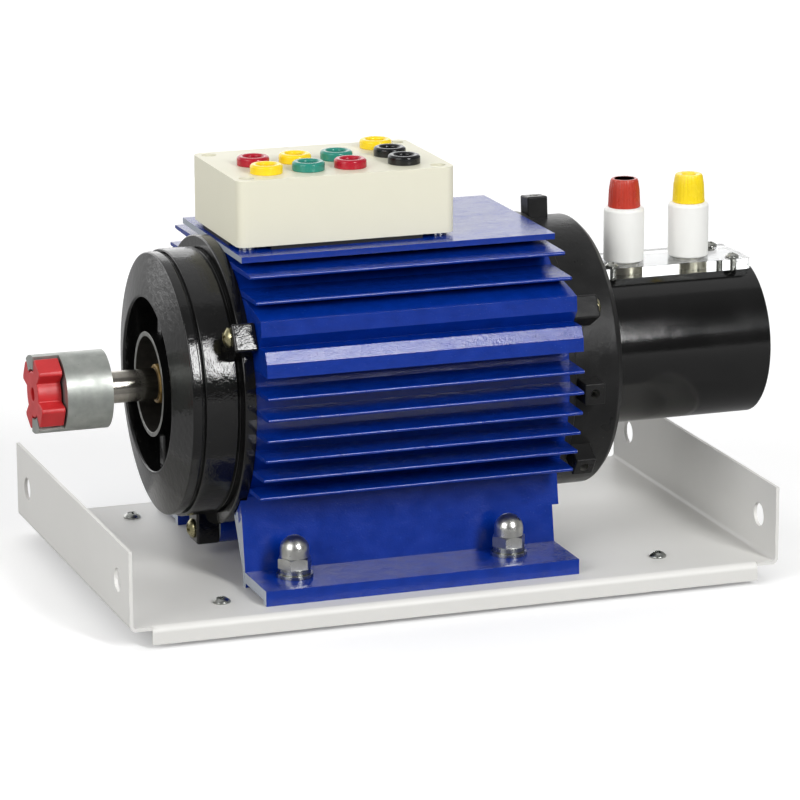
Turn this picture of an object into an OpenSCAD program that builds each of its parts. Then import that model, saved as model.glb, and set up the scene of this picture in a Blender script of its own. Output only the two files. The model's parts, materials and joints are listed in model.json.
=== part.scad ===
// Bench synchronous motor: a finned motor bolted to a folded tray, with a jaw coupling on its
// drive side and a slip-ring housing with two brush holders on its other side.
// Millimetres. X runs along the motor axis from the coupling to the slip rings and Z is up.
// The origin is the middle of the outline, on the surface that the rubber feet stand on.

/* [Tray] */
// Length of the tray over its two end flanges
tray_length = 295; // [280:1:340]
// Width of the tray over its two lips
tray_width = 188; // [180:1:240]
// Thickness of the sheet
sheet = 1.5; // [1:0.1:2.5]
// Height of the end flanges above the plate
flange_height = 33.5; // [26:0.5:50]
// Depth of the front and rear lips below the top of the plate
lip_depth = 8; // [7.5:0.5:12]
// Distance from the flange's outer face to the end of a lip
lip_inset = 9.8; // [6:0.1:16]
// Inside radius of every fold
bend_radius = 1.5; // [1:0.1:3]
// Diameter of the holes in the end flanges
flange_hole_d = 10.5; // [6:0.1:14]
// Distance between the two holes of a flange
flange_hole_span = 151.5; // [60:0.5:165]
// Height of the flange holes above the plate
flange_hole_height = 16.4; // [10:0.1:20]

/* [Rubber feet] */
// Distance between the feet along the tray
foot_span_x = 200.6; // [185:0.1:250]
// Distance between the feet across the tray
foot_span_y = 139.8; // [100:0.1:150]
// Diameter of a rubber foot
foot_d = 20; // [16:0.5:24]
// How far the rubber feet reach below the lips
foot_drop = 2; // [1.5:0.1:6]
// Thickness of the rubber under the screw's clamping load
foot_web = 3.6; // [2:0.1:4]
// Diameter of the foot screws
foot_screw_d = 4; // [3:0.5:5]
// Head diameter of the foot screws
foot_head_d = 7.8; // [6:0.1:10]
// Head height of the foot screws
foot_head_h = 2.6; // [1.8:0.1:3.5]

/* [Motor frame] */
// Height of the motor axis above the plate
axis_height = 80; // [78:0.5:95]
// Drive end of the frame, measured from the middle of the tray
frame_start = -81.5; // [-95:0.1:-70]
// Length of the finned frame
frame_length = 142.5; // [135:0.1:180]
// Bore of the frame
frame_bore_d = 116; // [110:0.5:118]
// Wall between the bore and the roots of the fins
frame_wall = 5; // [4:0.1:5.5]
// Radius that the fin tips lie on
fin_r = 80; // [74:0.5:84]
// How far above the axis the circle of the lower fins is centred
fin_rise = 6; // [0:0.5:10]
// Distance from fin to fin
fin_pitch = 9.35; // [9:0.05:9.6]
// Thickness of a fin at its rounded tip
fin_tip = 1.6; // [1:0.1:2.2]
// Thickness of a fin at its root
fin_root = 2.8; // [2:0.1:3.4]
// How far the rib of a shield screw rises above the screw
rib_rise = 13; // [12:0.1:14]
// How far the rib of a shield screw reaches outside the screw
rib_reach = 12.4; // [11:0.1:14]
// Height of the flat top above the axis
top_height = 63.2; // [62:0.1:66]
// Width of the flat top
top_width = 88; // [80:0.5:100]
// Thickness of the flat top
top_plate = 2.6; // [2:0.1:3.2]
// Distance between the outer faces of the legs at the feet
leg_span = 106; // [100:0.2:112]
// Thickness of a leg at its foot
leg_wall = 3.2; // [2.6:0.1:5]
// How far the outer face of a leg leans inwards for each millimetre of height
leg_lean = 0.17; // [0.1:0.01:0.24]
// How far the inner face of a leg runs inwards for each millimetre of height
leg_flare = 0.55; // [0.4:0.01:0.6]
// How far the legs reach beyond the fins at the drive end
leg_reach = 3; // [0:0.1:4]
// Width over the two feet of the frame
feet_width = 166; // [158:0.5:178]
// Thickness of a foot of the frame
feet_thickness = 6.7; // [5:0.1:10]
// Depth of the relief under a foot of the frame
feet_relief = 2; // [0.4:0.1:2.5]
// Width of the two strips that a foot of the frame stands on
feet_strip = 3.8; // [3:0.1:6]
// How much shorter the feet are than the fins at the rear end
feet_cut = 3; // [1:0.1:6]
// Height up to which the legs are cut back with the feet
feet_cut_height = 22.6; // [15:0.1:30]
// Diameter of the hole that takes the winding leads up into the terminal box
lead_hole_d = 18; // [10:0.5:24]

/* [Mounting bolts] */
// Diameter of the mounting bolts
bolt_d = 8; // [6:1:8]
// Distance between the bolts along the motor
bolt_span_x = 98; // [80:0.5:105]
// Distance from the outer face of a leg at its foot to the bolts
bolt_reach = 11.5; // [10:0.1:13]
// Distance from the frame's drive end to the first bolts
bolt_start = 15.7; // [12:0.1:24]
// Width across flats of the bolt heads and the acorn nuts
bolt_flats = 13; // [12:0.5:13]
// Height of the bolt heads
bolt_head_h = 5.3; // [4:0.1:5.5]
// Diameter of the washers
washer_d = 16; // [15:0.5:18]
// Thickness of the washers
washer_h = 1.6; // [1:0.1:2.5]
// Diameter of the split spring washers
spring_washer_d = 13.8; // [12.6:0.1:15]
// Thickness of the split spring washers
spring_washer_h = 2.4; // [1.6:0.1:3]
// Height of the hexagon of an acorn nut
acorn_hex_h = 6.5; // [5:0.1:8]
// Height of a whole acorn nut
acorn_h = 14.2; // [14:0.1:18]

/* [End shields] */
// Diameter of the circle that the shield screws lie on
shield_circle_d = 134; // [132:0.2:138]
// Diameter of the shield screws
shield_screw_d = 5; // [4:0.5:5]
// Head diameter of the shield screws
shield_head_d = 8.6; // [7:0.1:10]
// Head height of the shield screws
shield_head_h = 2.8; // [2:0.1:4]
// How deep the shield screws go into the frame
shield_screw_grip = 16; // [10:0.5:22]
// Width of a screw lug on the drive-end shield
lug_width = 12.6; // [11:0.1:16]
// Width of a screw lug on the rear end shield
rear_lug_width = 10.6; // [9:0.1:14]
// Angle from the top to the two upper screws of a shield
lug_angle = 61; // [59:0.5:62]
// Material outside the screw in a lug
lug_cap = 6.2; // [5:0.1:8]
// Length of the spigots that centre the shields in the frame
spigot_length = 4; // [2:0.1:6]
// Wall of the castings
cast_wall = 5.5; // [4:0.1:7]
// Depth of the drive-end shield from the frame to its rim
drive_depth = 26.1; // [22:0.1:30]
// How far the face of the drive-end shield stands out of its rim
drive_crown = 4.5; // [2:0.1:8]
// Diameter of the rim of the drive-end shield
drive_rim_d = 115; // [112:0.5:120]
// Diameter of the drum of the drive-end shield
drive_drum_d = 117; // [114:0.5:122]
// Diameter of the ring that meets the frame on the drive side
drive_ring_d = 127; // [124:0.5:128]
// Length of that ring
drive_ring_length = 5; // [2:0.1:6]
// Width of the rim band of the drive-end shield
rim_band = 4.2; // [3:0.1:8]
// Width of the grooves around the drive-end shield
groove_width = 1.3; // [0.8:0.1:2]
// Depth of the grooves around the drive-end shield
groove_depth = 1.4; // [0.6:0.1:2]
// Diameter of the opening in the face of the drive-end shield
drive_opening_d = 74.8; // [70:0.2:80]
// Depth of the recess behind that opening
recess_depth = 16; // [11:0.5:17]
// Outside diameter of the machined lip of the bearing boss
boss_d = 46; // [44:0.2:50]
// How far that lip stands back from the face of the shield
boss_set_back = 1.1; // [0:0.1:3]
// Inside diameter of the machined lip of the bearing boss
boss_bore_d = 42; // [41:0.2:43]
// Width of the ribs in the recess
recess_rib = 7; // [4:0.5:12]
// Length of the screw lugs on the drive side
drive_lug_length = 10.5; // [7:0.1:14]
// Depth of the rear end shield from the frame to its back face
rear_depth = 27; // [26:0.1:34]
// Diameter of the rear end shield
rear_d = 121; // [118:0.5:124]
// Chamfer around the back of the rear end shield
rear_chamfer = 3; // [1:0.1:5]
// Length of the screw lugs on the rear side
rear_lug_length = 12.8; // [10:0.1:20]
// Side of the square bosses on the rear end shield
cowl_boss = 9.5; // [8:0.1:12]
// Distance from the axis to the outer end of the square bosses
cowl_boss_reach = 70; // [66:0.5:74]
// Distance from the frame to the square bosses
cowl_boss_start = 4.5; // [2:0.1:10]
// Diameter of the tapped holes in the square bosses
cowl_hole_d = 4.2; // [3:0.1:5]
// Depth of the tapped holes in the square bosses
cowl_hole_depth = 8; // [4:0.5:9]

/* [Shaft and bearings] */
// Diameter of both shaft ends
shaft_end_d = 14; // [12:0.5:15]
// Diameter of the shaft inside the rotor
shaft_core_d = 24; // [20:0.5:28]
// Bore of the bearings
bearing_bore = 17; // [17:0.5:18]
// Outside diameter of the bearings
bearing_od = 40; // [39:0.2:40.6]
// Width of the bearings
bearing_width = 12; // [11:0.1:13]
// Number of balls in a bearing
ball_count = 8; // [4:4:8]
// Diameter of the balls
ball_d = 6.7; // [6:0.1:7]
// Thickness of the preload washer beside the rear bearing
preload_h = 1; // [0.6:0.1:1.5]
// Diameter of the collar in front of the drive bearing
collar_d = 17.2; // [16.5:0.1:20]
// Length of that collar
collar_length = 18; // [10:0.5:22]

/* [Stator and rotor] */
// Length of the stator and rotor cores
core_length = 80; // [60:1:90]
// Bore of the stator core
core_bore_d = 72; // [70:0.5:76]
// Gap between stator and rotor
air_gap = 0.4; // [0.3:0.05:0.8]
// Number of slots in the stator
slot_count = 24; // [12:6:30]
// Width of a stator slot
slot_width = 4.4; // [3.5:0.1:5]
// Depth of a stator slot
slot_depth = 13; // [10:0.5:14]
// Iron between a slot and the stator's bore
slot_lip = 1.4; // [1:0.1:2]
// How far the stator's end turns stand out of the core
end_turn = 20; // [12:0.5:22]
// Width of a rotor pole's neck
pole_width = 20; // [16:0.5:20]
// Thickness of a pole shoe
shoe_thickness = 7; // [5:0.5:8]
// Half the angle that a pole shoe covers
shoe_half_angle = 33; // [28:1:36]
// Diameter of the rotor's hub
rotor_hub_d = 37; // [35:0.5:38]
// Thickness of a field coil beside its pole
coil_build = 7.6; // [5:0.1:8]

/* [Coupling] */
// Diameter of the coupling hub
hub_d = 34.2; // [32:0.2:40]
// Length of the coupling hub without its jaws
hub_length = 20.4; // [18:0.2:26]
// Distance from the face of the drive-end shield to the coupling hub
hub_gap = 19.2; // [12:0.1:30]
// Length of the coupling jaws
jaw_length = 11.3; // [8:0.1:14]
// Angle that one jaw covers
jaw_angle = 44; // [36:1:44]
// Angle that the jaws are turned from the top towards the front
jaw_turn = -15; // [-45:1:45]
// Radius of the inner face of the jaws
jaw_inner_r = 11; // [10.8:0.1:12]
// Width of a spider lobe at its root
lobe_width = 7; // [6:0.1:7.4]
// Width of a spider lobe at its end
lobe_end_width = 10.6; // [8:0.1:11]
// Diameter of the middle of the spider
spider_core_d = 20; // [16:0.5:21]
// Gap between the spider and the hub's face
spider_gap = 0.8; // [0.5:0.1:2]
// Diameter of the hole through the spider
spider_hole_d = 6; // [4:0.5:9]
// Width and height of the shaft key
key_side = 5; // [4:0.5:5]
// Length of the shaft key
key_length = 16; // [10:0.5:18]
// Diameter of the hub's set screw
set_screw_d = 5; // [4:0.5:6]

/* [Slip rings] */
// Diameter of the slip-ring tube
tube_d = 71; // [68:0.5:78]
// Wall of the slip-ring tube
tube_wall = 6; // [5:0.1:8]
// Length of the slip-ring tube
tube_length = 80.6; // [79:0.1:95]
// Depth of the flat along the top of the tube
tube_flat = 2; // [1:0.1:3]
// Length of the spigot that the tube is pushed onto
tube_spigot = 6; // [4:0.1:8]
// Thickness of the cap that closes the tube
end_cap_h = 4; // [2:0.1:5]
// Diameter of the slip rings
slip_ring_d = 40; // [36:0.5:42]
// Width of a slip ring
slip_ring_width = 12; // [10:0.5:16]
// Diameter of the insulating sleeve under the slip rings
slip_sleeve_d = 26; // [20:0.5:30]

/* [Brush holders] */
// Distance from the rear end shield to the first brush
first_brush = 23.5; // [21:0.1:25]
// Distance between the brushes
brush_pitch = 31.3; // [24:0.1:34]
// Side of the square carbon brushes
brush_side = 7; // [5:0.1:7.4]
// Length of a brush
brush_length = 22; // [16:0.5:24]
// Diameter of the brass tube that guides a brush
guide_d = 13; // [12.6:0.1:14]
// Gap between a guide tube and the slip ring
guide_gap = 3; // [1:0.1:6]
// Wire diameter of a brush spring
spring_wire = 0.8; // [0.5:0.1:1]
// Outside diameter of a brush spring
spring_d = 6; // [4:0.1:6.4]
// Turns of a brush spring
spring_turns = 6; // [3:1:8]
// Length of the clear plate
plate_length = 74; // [70:0.5:78]
// Width of the clear plate
plate_width = 33; // [31:0.5:40]
// Thickness of the clear plate
plate_thickness = 5; // [3:0.1:8]
// Corner radius of the clear plate
plate_corner = 3; // [1:0.5:4]
// Distance from the rear end shield to the clear plate
plate_start = 5; // [1:0.1:8]
// Distance between the plate screws along the plate
plate_screw_span_x = 58.3; // [56:0.1:62]
// Distance between the plate screws across the plate
plate_screw_span_y = 24.6; // [22:0.1:26]
// Diameter of the plate screws
plate_screw_d = 3; // [2:0.5:3]
// Head diameter of the plate screws
plate_head_d = 6.2; // [5:0.1:6.4]
// Head height of the plate screws
plate_head_h = 2.2; // [1.5:0.1:3]
// How deep the plate screws go into the tube
plate_screw_grip = 5; // [3:0.5:6]
// Diameter of a white brush-holder sleeve
sleeve_d = 18.2; // [17:0.1:20]
// Height of a white brush-holder sleeve
sleeve_height = 24.5; // [22:0.1:32]
// Diameter of a cap at its foot
cap_d = 14.6; // [14:0.1:17]
// Diameter of a cap at its top
cap_top_d = 12; // [11:0.1:14]
// Height of a cap above its sleeve
cap_height = 12.8; // [10:0.1:16]
// Length of the cap's screwed spigot inside the sleeve
cap_spigot = 5.8; // [5:0.1:9]
// Diameter of the mouth in the top of a cap
cap_mouth_d = 7.6; // [6.4:0.1:8.4]
// Depth of the mouth in the top of a cap
cap_mouth_depth = 4; // [3:0.1:5]

/* [Terminal box] */
// Height of the terminal box
box_height = 29; // [28:0.5:40]
// Wall of the terminal box
box_wall = 2.5; // [2:0.1:3.5]
// Radius of the upright corners of the terminal box
box_corner = 4; // [2:0.5:6]
// Distance from the frame's drive end to the terminal box
box_start = 1.7; // [1:0.1:10]
// Height of the gap below the terminal box
box_gap = 1.6; // [1:0.1:3]
// Distance from the box's sides to its screws
box_screw_inset = 6; // [5.6:0.1:7]
// Diameter of the box screws
box_screw_d = 3.2; // [2.5:0.1:3.4]
// Diameter of the wells that the box screws sit in
box_well_d = 6.6; // [6:0.1:7]
// Depth of the wells that the box screws sit in
box_well_depth = 3; // [2:0.1:4]
// Thickness of the pillars around the box screws
box_pillar_d = 9; // [8.6:0.1:11]
// Width of the sealing strips below the box walls
seal_width = 1.8; // [1:0.1:2]
// Distance from the drive end of the box to the first sockets
socket_start = 17.6; // [15:0.1:20]
// Distance from the last sockets to the rear end of the box
socket_end = 18.5; // [15:0.1:24]
// Distance from the front and rear rows of sockets to the sides of the box
socket_margin = 14.7; // [13:0.1:18]
// Distance from socket to socket
socket_pitch = 19; // [19:0.5:20]
// Distance from the third column of sockets to the fourth
neutral_gap = 24.6; // [20:0.1:26]
// Outside diameter of a socket's collar
socket_d = 14.2; // [12:0.1:15]
// Height of a socket's collar above the box
socket_rise = 4; // [3:0.1:6]
// Diameter of a socket's barrel
barrel_d = 10.8; // [10.4:0.1:11.4]
// Depth of a socket's barrel below the top of the box
barrel_depth = 20; // [16:0.5:21]
// Diameter of the opening that a plug's sleeve goes into
shroud_d = 8.2; // [7.8:0.1:8.6]
// Bore of every plug contact
contact_bore = 4; // [4:0.05:4.2]
// Outside diameter of every plug contact
contact_d = 5.4; // [5:0.1:5.8]
// Distance from the top of the box down to a contact
contact_drop = 3.2; // [3:0.1:5]
// Diameter of the solder tail on a socket contact
tail_d = 3; // [2:0.1:3.4]
// Length of the solder tail on a socket contact
tail_length = 5; // [3:0.5:5]
// Width across flats of a socket nut
socket_nut_flats = 14; // [13.4:0.1:15]
// Thickness of a socket nut
socket_nut_h = 3.5; // [2:0.1:5]

/* [Fits] */
// Radial clearance of parts that are pushed, pressed or screwed together
fit = 0.05; // [0.02:0.01:0.1]
// Clearance of bolts and screws in the holes they pass through
pass = 0.5; // [0.3:0.05:0.8]
// Gap between the brushes and the slip rings
brush_gap = 0.1; // [0.05:0.01:0.2]
// Clearance on each side of a brush in its guide
brush_play = 0.1; // [0.05:0.01:0.3]
// Gap between parts that turn past each other
turn_gap = 0.4; // [0.3:0.05:1]

/* [Hidden] */
$fn = 96;

// Places along the motor axis, measured from the middle of the tray
frame_end = frame_start + frame_length;
rim_x = frame_start - drive_depth;
face_x = rim_x - drive_crown;
hub_x = face_x - hub_gap;
jaw_x = hub_x - hub_length;
coupling_end = jaw_x - jaw_length;
rear_face = frame_end + rear_depth;
tube_end = rear_face + tube_length;
core_x = (frame_start + frame_end - core_length) / 2;
recess_x = face_x + recess_depth;
seat_wall = 2;
drive_seat_x = recess_x + cast_wall + seat_wall - 1.5;
rear_seat_x = rear_face - 6 - bearing_width;
brush_x = [rear_face + first_brush, rear_face + first_brush + brush_pitch];
box_x = frame_start + box_start;
box_length = socket_start + 2 * socket_pitch + neutral_gap + socket_end;
box_width = 2 * (socket_pitch + socket_margin);
bolt_x = [frame_start + bolt_start, frame_start + bolt_start + bolt_span_x];
bolt_y = leg_span / 2 + bolt_reach;
plate_x = rear_face + plate_start;

// The origin is the middle of the outline, so the tray's middle lies beside it
shift_x = -(coupling_end + tube_end) / 2;
plate_z = foot_drop + lip_depth;
axis_z = plate_z + axis_height;

// Heights above the motor axis
top_z = top_height + box_gap;
box_top = top_z + box_height;
flat_z = tube_d / 2 - tube_flat;
plate_top = flat_z + plate_thickness;
sleeve_top = plate_top + sleeve_height;
cap_top = sleeve_top + cap_height;
spigot_z = sleeve_top - cap_spigot;
brush_z = slip_ring_d / 2 + brush_gap;
brush_top = brush_z + brush_length;

frame_r = frame_bore_d / 2 + frame_wall;
shield_r = shield_circle_d / 2;
shield_angles = [lug_angle, -lug_angle, 180];
lug_hangs = [1, -1, 0];
cowl_angles = [-4.5, 93, 124.5, -93, -124.5];
tube_bore_r = tube_d / 2 - tube_wall;
nut_d = bolt_flats / cos(30);
foot_nut_flats = foot_screw_d * 1.75;
foot_nut_h = foot_screw_d * 0.8;
contact_foot = 2;
rib_angles = [0, 90, 180, 270];

// Socket columns along the box, and the sockets of each colour as [column, row]
socket_x = [for (i = [0 : 2]) box_x + socket_start + i * socket_pitch,
            box_x + socket_start + 2 * socket_pitch + neutral_gap];
yellow_places = [[0, 1], [1, 0], [3, -1]];
green_places = [[1, 1], [2, 0]];
red_places = [[2, 1], [0, 0]];
black_places = [[3, 1], [3, 0]];
all_places = concat(yellow_places, green_places, red_places, black_places);

// Places its children on the tray: X from the tray's middle, Z from the top of the plate
module on_plate() {
    translate([shift_x, 0, plate_z]) children();
}

// Lays its children along the motor axis: local Z runs along X, local X is up, local Y is front
module along_axis(x = 0) {
    translate([shift_x + x, 0, axis_z]) rotate([0, 90, 0]) rotate([0, 0, 180]) children();
}

// Stands its children above the motor axis: X from the tray's middle, Z from the axis
module above_axis(x = 0, z = 0) {
    translate([shift_x + x, 0, axis_z + z]) children();
}

module foot_places() {
    for (x = [-1, 1], y = [-1, 1]) translate([x * foot_span_x / 2, y * foot_span_y / 2, 0]) children();
}

module bolt_places() {
    for (x = bolt_x, y = [-1, 1]) translate([x, y * bolt_y, 0]) children();
}

module plate_screw_places() {
    for (x = [-1, 1], y = [-1, 1])
        translate([plate_x + plate_length / 2 + x * plate_screw_span_x / 2, y * plate_screw_span_y / 2, 0])
            children();
}

module box_screw_places() {
    for (x = [-1, 1], y = [-1, 1])
        translate([box_x + box_length / 2 + x * (box_length / 2 - box_screw_inset),
                   y * (box_width / 2 - box_screw_inset), 0])
            children();
}

// Puts a child at each listed socket; row 1 is the front row
module socket_places(places) {
    for (p = places) above_axis(socket_x[p[0]], box_top) translate([0, -p[1] * socket_pitch, 0]) children();
}

module ring(d, bore, h) {
    difference() {
        cylinder(d = d, h = h);
        translate([0, 0, -1]) cylinder(d = bore, h = h + 2);
    }
}

module rounded_rect(w, h, r) {
    square([w - 2 * r, h], center = true);
    square([w, h - 2 * r], center = true);
    for (x = [-1, 1], y = [-1, 1]) translate([x * (w / 2 - r), y * (h / 2 - r)]) circle(r = r);
}

// Domed screw head that stands on z = 0, with a cross recess in its top
module pan_head(d, h) {
    recess_w = d / 7;
    recess_l = d * 0.55;
    difference() {
        intersection() {
            cylinder(d = d, h = h);
            translate([0, 0, h - d]) sphere(r = d);
            translate([0, 0, h - 0.62 * d]) sphere(r = 0.62 * d);
        }
        for (a = [0, 90]) rotate([0, 0, a])
            translate([-recess_l / 2, -recess_w / 2, h * 0.45]) cube([recess_l, recess_w, h]);
    }
}

// Cross-head screw with its head above z = 0 and its shank below
module cross_screw(d, length, head_d, head_h) {
    pan_head(head_d, head_h);
    translate([0, 0, -length]) cylinder(d = d, h = length + head_h / 4);
}

// Quarter of a fold, from the plate side to the upright side
module fold_quarter() {
    outer = bend_radius + sheet;
    intersection() {
        difference() {
            circle(r = outer);
            circle(r = bend_radius);
        }
        translate([0, -outer]) square(outer);
    }
}

module tray_end() {
    outer = bend_radius + sheet;
    rotate([90, 0, 0]) linear_extrude(tray_width, center = true) {
        translate([tray_length / 2 - lip_inset, -sheet]) square([lip_inset - outer, sheet]);
        translate([tray_length / 2 - outer, bend_radius]) fold_quarter();
        translate([tray_length / 2 - sheet, bend_radius]) square([sheet, flange_height - bend_radius]);
    }
}

module tray_lip_profile() {
    outer = bend_radius + sheet;
    translate([0, -sheet]) square([tray_width / 2 - outer, sheet]);
    translate([tray_width / 2 - outer, -outer]) mirror([0, 1]) fold_quarter();
    translate([tray_width / 2 - sheet, -lip_depth]) square([sheet, lip_depth - outer]);
}

module base_tray() {
    color("gainsboro") on_plate() difference() {
        union() {
            translate([lip_inset - tray_length / 2, 0, 0]) rotate([90, 0, 90])
                linear_extrude(tray_length - 2 * lip_inset) {
                    tray_lip_profile();
                    mirror([1, 0]) tray_lip_profile();
                }
            tray_end();
            mirror([1, 0, 0]) tray_end();
        }
        for (y = [-1, 1]) translate([-tray_length, y * flange_hole_span / 2, flange_hole_height])
            rotate([0, 90, 0]) cylinder(d = flange_hole_d, h = 2 * tray_length);
        foot_places() translate([0, 0, -2 * sheet]) cylinder(d = foot_screw_d + pass, h = 3 * sheet);
        bolt_places() translate([0, 0, -2 * sheet]) cylinder(d = bolt_d + pass, h = 3 * sheet);
    }
}

module rubber_feet() {
    top_r = foot_d / 2;
    low_r = foot_d / 2 - 1.5;
    low = -lip_depth - foot_drop;
    well_r = foot_nut_flats / cos(30) / 2 + pass;
    hole_r = foot_screw_d / 2 + fit;
    color("#202022") on_plate() foot_places() rotate_extrude()
        polygon([[hole_r, -sheet], [top_r, -sheet], [low_r, low + 0.8], [low_r - 0.8, low], [well_r, low],
                 [well_r, -sheet - foot_web], [hole_r, -sheet - foot_web]]);
}

module foot_screws() {
    color("silver") on_plate() foot_places()
        cross_screw(foot_screw_d, sheet + foot_web + foot_nut_h + 0.3, foot_head_d, foot_head_h);
}

module foot_nuts() {
    color("silver") on_plate() foot_places() translate([0, 0, -sheet - foot_web - foot_nut_h])
        difference() {
            cylinder(d = foot_nut_flats / cos(30), h = foot_nut_h, $fn = 6);
            translate([0, 0, -1]) cylinder(d = foot_screw_d + 2 * fit, h = foot_nut_h + 2);
        }
}

// How far a lower fin reaches sideways at a height above the axis
function low_reach(u) = sqrt(pow(fin_r, 2) - pow(u - fin_rise, 2));
// How far an upper fin reaches sideways at a height above the axis
function high_reach(u) = sqrt(pow(fin_r, 2) - pow(u, 2));

// Half width of the middle of the frame's wall at a height above the axis
function wall_reach(u) = sqrt(pow(frame_r - frame_wall / 2, 2) - pow(u, 2));

// Outline of a fin at height u, out to the given reach, drawn as [up, front]
module fin_profile(u, reach) {
    root = wall_reach(u);
    tip = reach - fin_tip / 2;
    polygon([[u + fin_root / 2, root], [u + fin_tip / 2, tip], [u - fin_tip / 2, tip],
             [u - fin_root / 2, root]]);
    translate([u, tip]) circle(d = fin_tip);
}

// Thick rib with a sloped shoulder, and the rib above it that holds the shield screw
module side_ribs_profile() {
    low = 2 * fin_pitch - 0.4;
    front = 5.9;
    high = low + 10.7;
    shoulder = low_reach(low) - 0.6;
    slope = (high - low - front) * tan(27);
    screw_u = shield_r * cos(lug_angle);
    screw_f = shield_r * sin(lug_angle);
    polygon([[high, wall_reach(high)], [high, shoulder - slope], [low + front, shoulder], [low, low_reach(low)],
             [low, wall_reach(low)]]);
    crest = screw_u + rib_rise;
    nose = screw_f + rib_reach;
    polygon([[crest, wall_reach(crest)], [crest, nose - 22], [crest - 1.6, nose - 14],
             [crest - 2.9, nose - 7], [crest - 4.6, nose - 0.6], [crest - 11.2, nose],
             [crest - 16.8, nose - 4.4], [crest - 16.6, wall_reach(crest - 16.6)]]);
}

module half_frame_profile() {
    for (i = [-4 : 1]) fin_profile(i * fin_pitch, low_reach(i * fin_pitch));
    side_ribs_profile();
    for (i = [5, 6]) fin_profile(i * fin_pitch + 0.6, high_reach(i * fin_pitch + 0.6));
}

// Leg that thickens upwards into the frame's wall, with its foot
module leg_profile() {
    foot = feet_thickness - axis_height;
    top = -0.65 * frame_r;
    rise = top - foot;
    out = leg_span / 2;
    inner = out - leg_wall;
    polygon([[foot - 1, inner + leg_flare], [top, inner - leg_flare * rise], [top, out - leg_lean * rise],
             [foot - 1, out + leg_lean]]);
    difference() {
        translate([-axis_height, inner]) square([feet_thickness, feet_width / 2 - inner]);
        translate([-axis_height - 1, inner + feet_strip])
            square([feet_relief + 1, feet_width / 2 - inner - 2 * feet_strip]);
    }
}

module legs_profile() {
    leg_profile();
    mirror([0, 1]) leg_profile();
}

module frame_profile() {
    circle(r = frame_r);
    translate([top_height - top_plate, -top_width / 2]) square([top_plate, top_width]);
    half_frame_profile();
    mirror([0, 1]) half_frame_profile();
    translate([-shield_r, 0]) circle(d = lug_width + 2);
    translate([-shield_r, -lug_width / 2 - 1]) square([shield_r, lug_width + 2]);
}

module motor_frame() {
    screw_r = shield_screw_d / 2 + fit;
    hole_depth = shield_screw_grip + 2;
    color("#0b2f96") difference() {
        union() {
            along_axis(frame_start) linear_extrude(frame_length) frame_profile();
            difference() {
                along_axis(frame_start - leg_reach) linear_extrude(frame_length + leg_reach) legs_profile();
                along_axis(frame_start - leg_reach - 1) cylinder(d = drive_ring_d + 1, h = leg_reach + 1);
            }
        }
        along_axis(frame_start - 1) cylinder(d = frame_bore_d, h = frame_length + 2);
        along_axis(frame_end - feet_cut) translate([-axis_height - 1, -feet_width, 0])
            cube([feet_cut_height + 1, 2 * feet_width, feet_cut + 1]);
        for (a = shield_angles) {
            along_axis(frame_start) rotate([0, 0, a]) translate([shield_r, 0, -1])
                cylinder(r = screw_r, h = hole_depth + 1);
            along_axis(frame_end - hole_depth) rotate([0, 0, a]) translate([shield_r, 0, 0])
                cylinder(r = screw_r, h = hole_depth + 1);
        }
        on_plate() bolt_places() translate([0, 0, -1]) cylinder(d = bolt_d + pass, h = feet_thickness + 2);
        above_axis(box_x + box_length / 2, frame_bore_d / 2 - 8) cylinder(d = lead_hole_d, h = axis_height);
        above_axis(0, top_height - top_plate - 1) box_screw_places()
            cylinder(d = box_screw_d + 2 * fit, h = top_plate + 2);
    }
}

module mounting_bolts() {
    grip = sheet + feet_thickness + washer_h + spring_washer_h + acorn_h - 5.5;
    color("silver") on_plate() bolt_places() translate([0, 0, -sheet]) {
        translate([0, 0, -bolt_head_h]) cylinder(d = nut_d, h = bolt_head_h, $fn = 6);
        translate([0, 0, -bolt_head_h / 2]) cylinder(d = bolt_d, h = grip + bolt_head_h / 2);
    }
}

module mounting_washers() {
    color("silver") on_plate() bolt_places() translate([0, 0, feet_thickness])
        ring(washer_d, bolt_d + pass, washer_h);
}

module spring_washers() {
    slit = 1.2;
    color("silver") on_plate() bolt_places() translate([0, 0, feet_thickness + washer_h]) difference() {
        ring(spring_washer_d, bolt_d + pass, spring_washer_h);
        rotate([0, 0, 30]) translate([0, -slit / 2, -1]) cube([spring_washer_d, slit, spring_washer_h + 2]);
    }
}

module acorn_nuts() {
    dome_r = bolt_flats / 2 - 0.2;
    base = feet_thickness + washer_h + spring_washer_h;
    color("gainsboro") on_plate() bolt_places() translate([0, 0, base])
        difference() {
            union() {
                intersection() {
                    cylinder(d = nut_d, h = acorn_hex_h, $fn = 6);
                    translate([0, 0, acorn_hex_h - bolt_flats]) sphere(r = bolt_flats);
                }
                translate([0, 0, acorn_hex_h / 2])
                    cylinder(r = dome_r, h = acorn_h - dome_r - acorn_hex_h / 2);
                translate([0, 0, acorn_h - dome_r]) sphere(r = dome_r);
            }
            translate([0, 0, -1]) cylinder(d = bolt_d + 2 * fit, h = acorn_h - 4);
        }
}

// One slot bar or slot opening of the stator, pointing up
module slot_bar(clearance) {
    translate([core_bore_d / 2 + slot_lip + clearance, clearance - slot_width / 2])
        square([slot_depth - 2 * clearance, slot_width - 2 * clearance]);
}

module stator_core() {
    color("#6f7276") along_axis(core_x) linear_extrude(core_length) difference() {
        circle(d = frame_bore_d - 2 * fit);
        circle(d = core_bore_d);
        for (i = [0 : slot_count - 1]) rotate(i * 360 / slot_count) slot_bar(0);
    }
}

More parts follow.
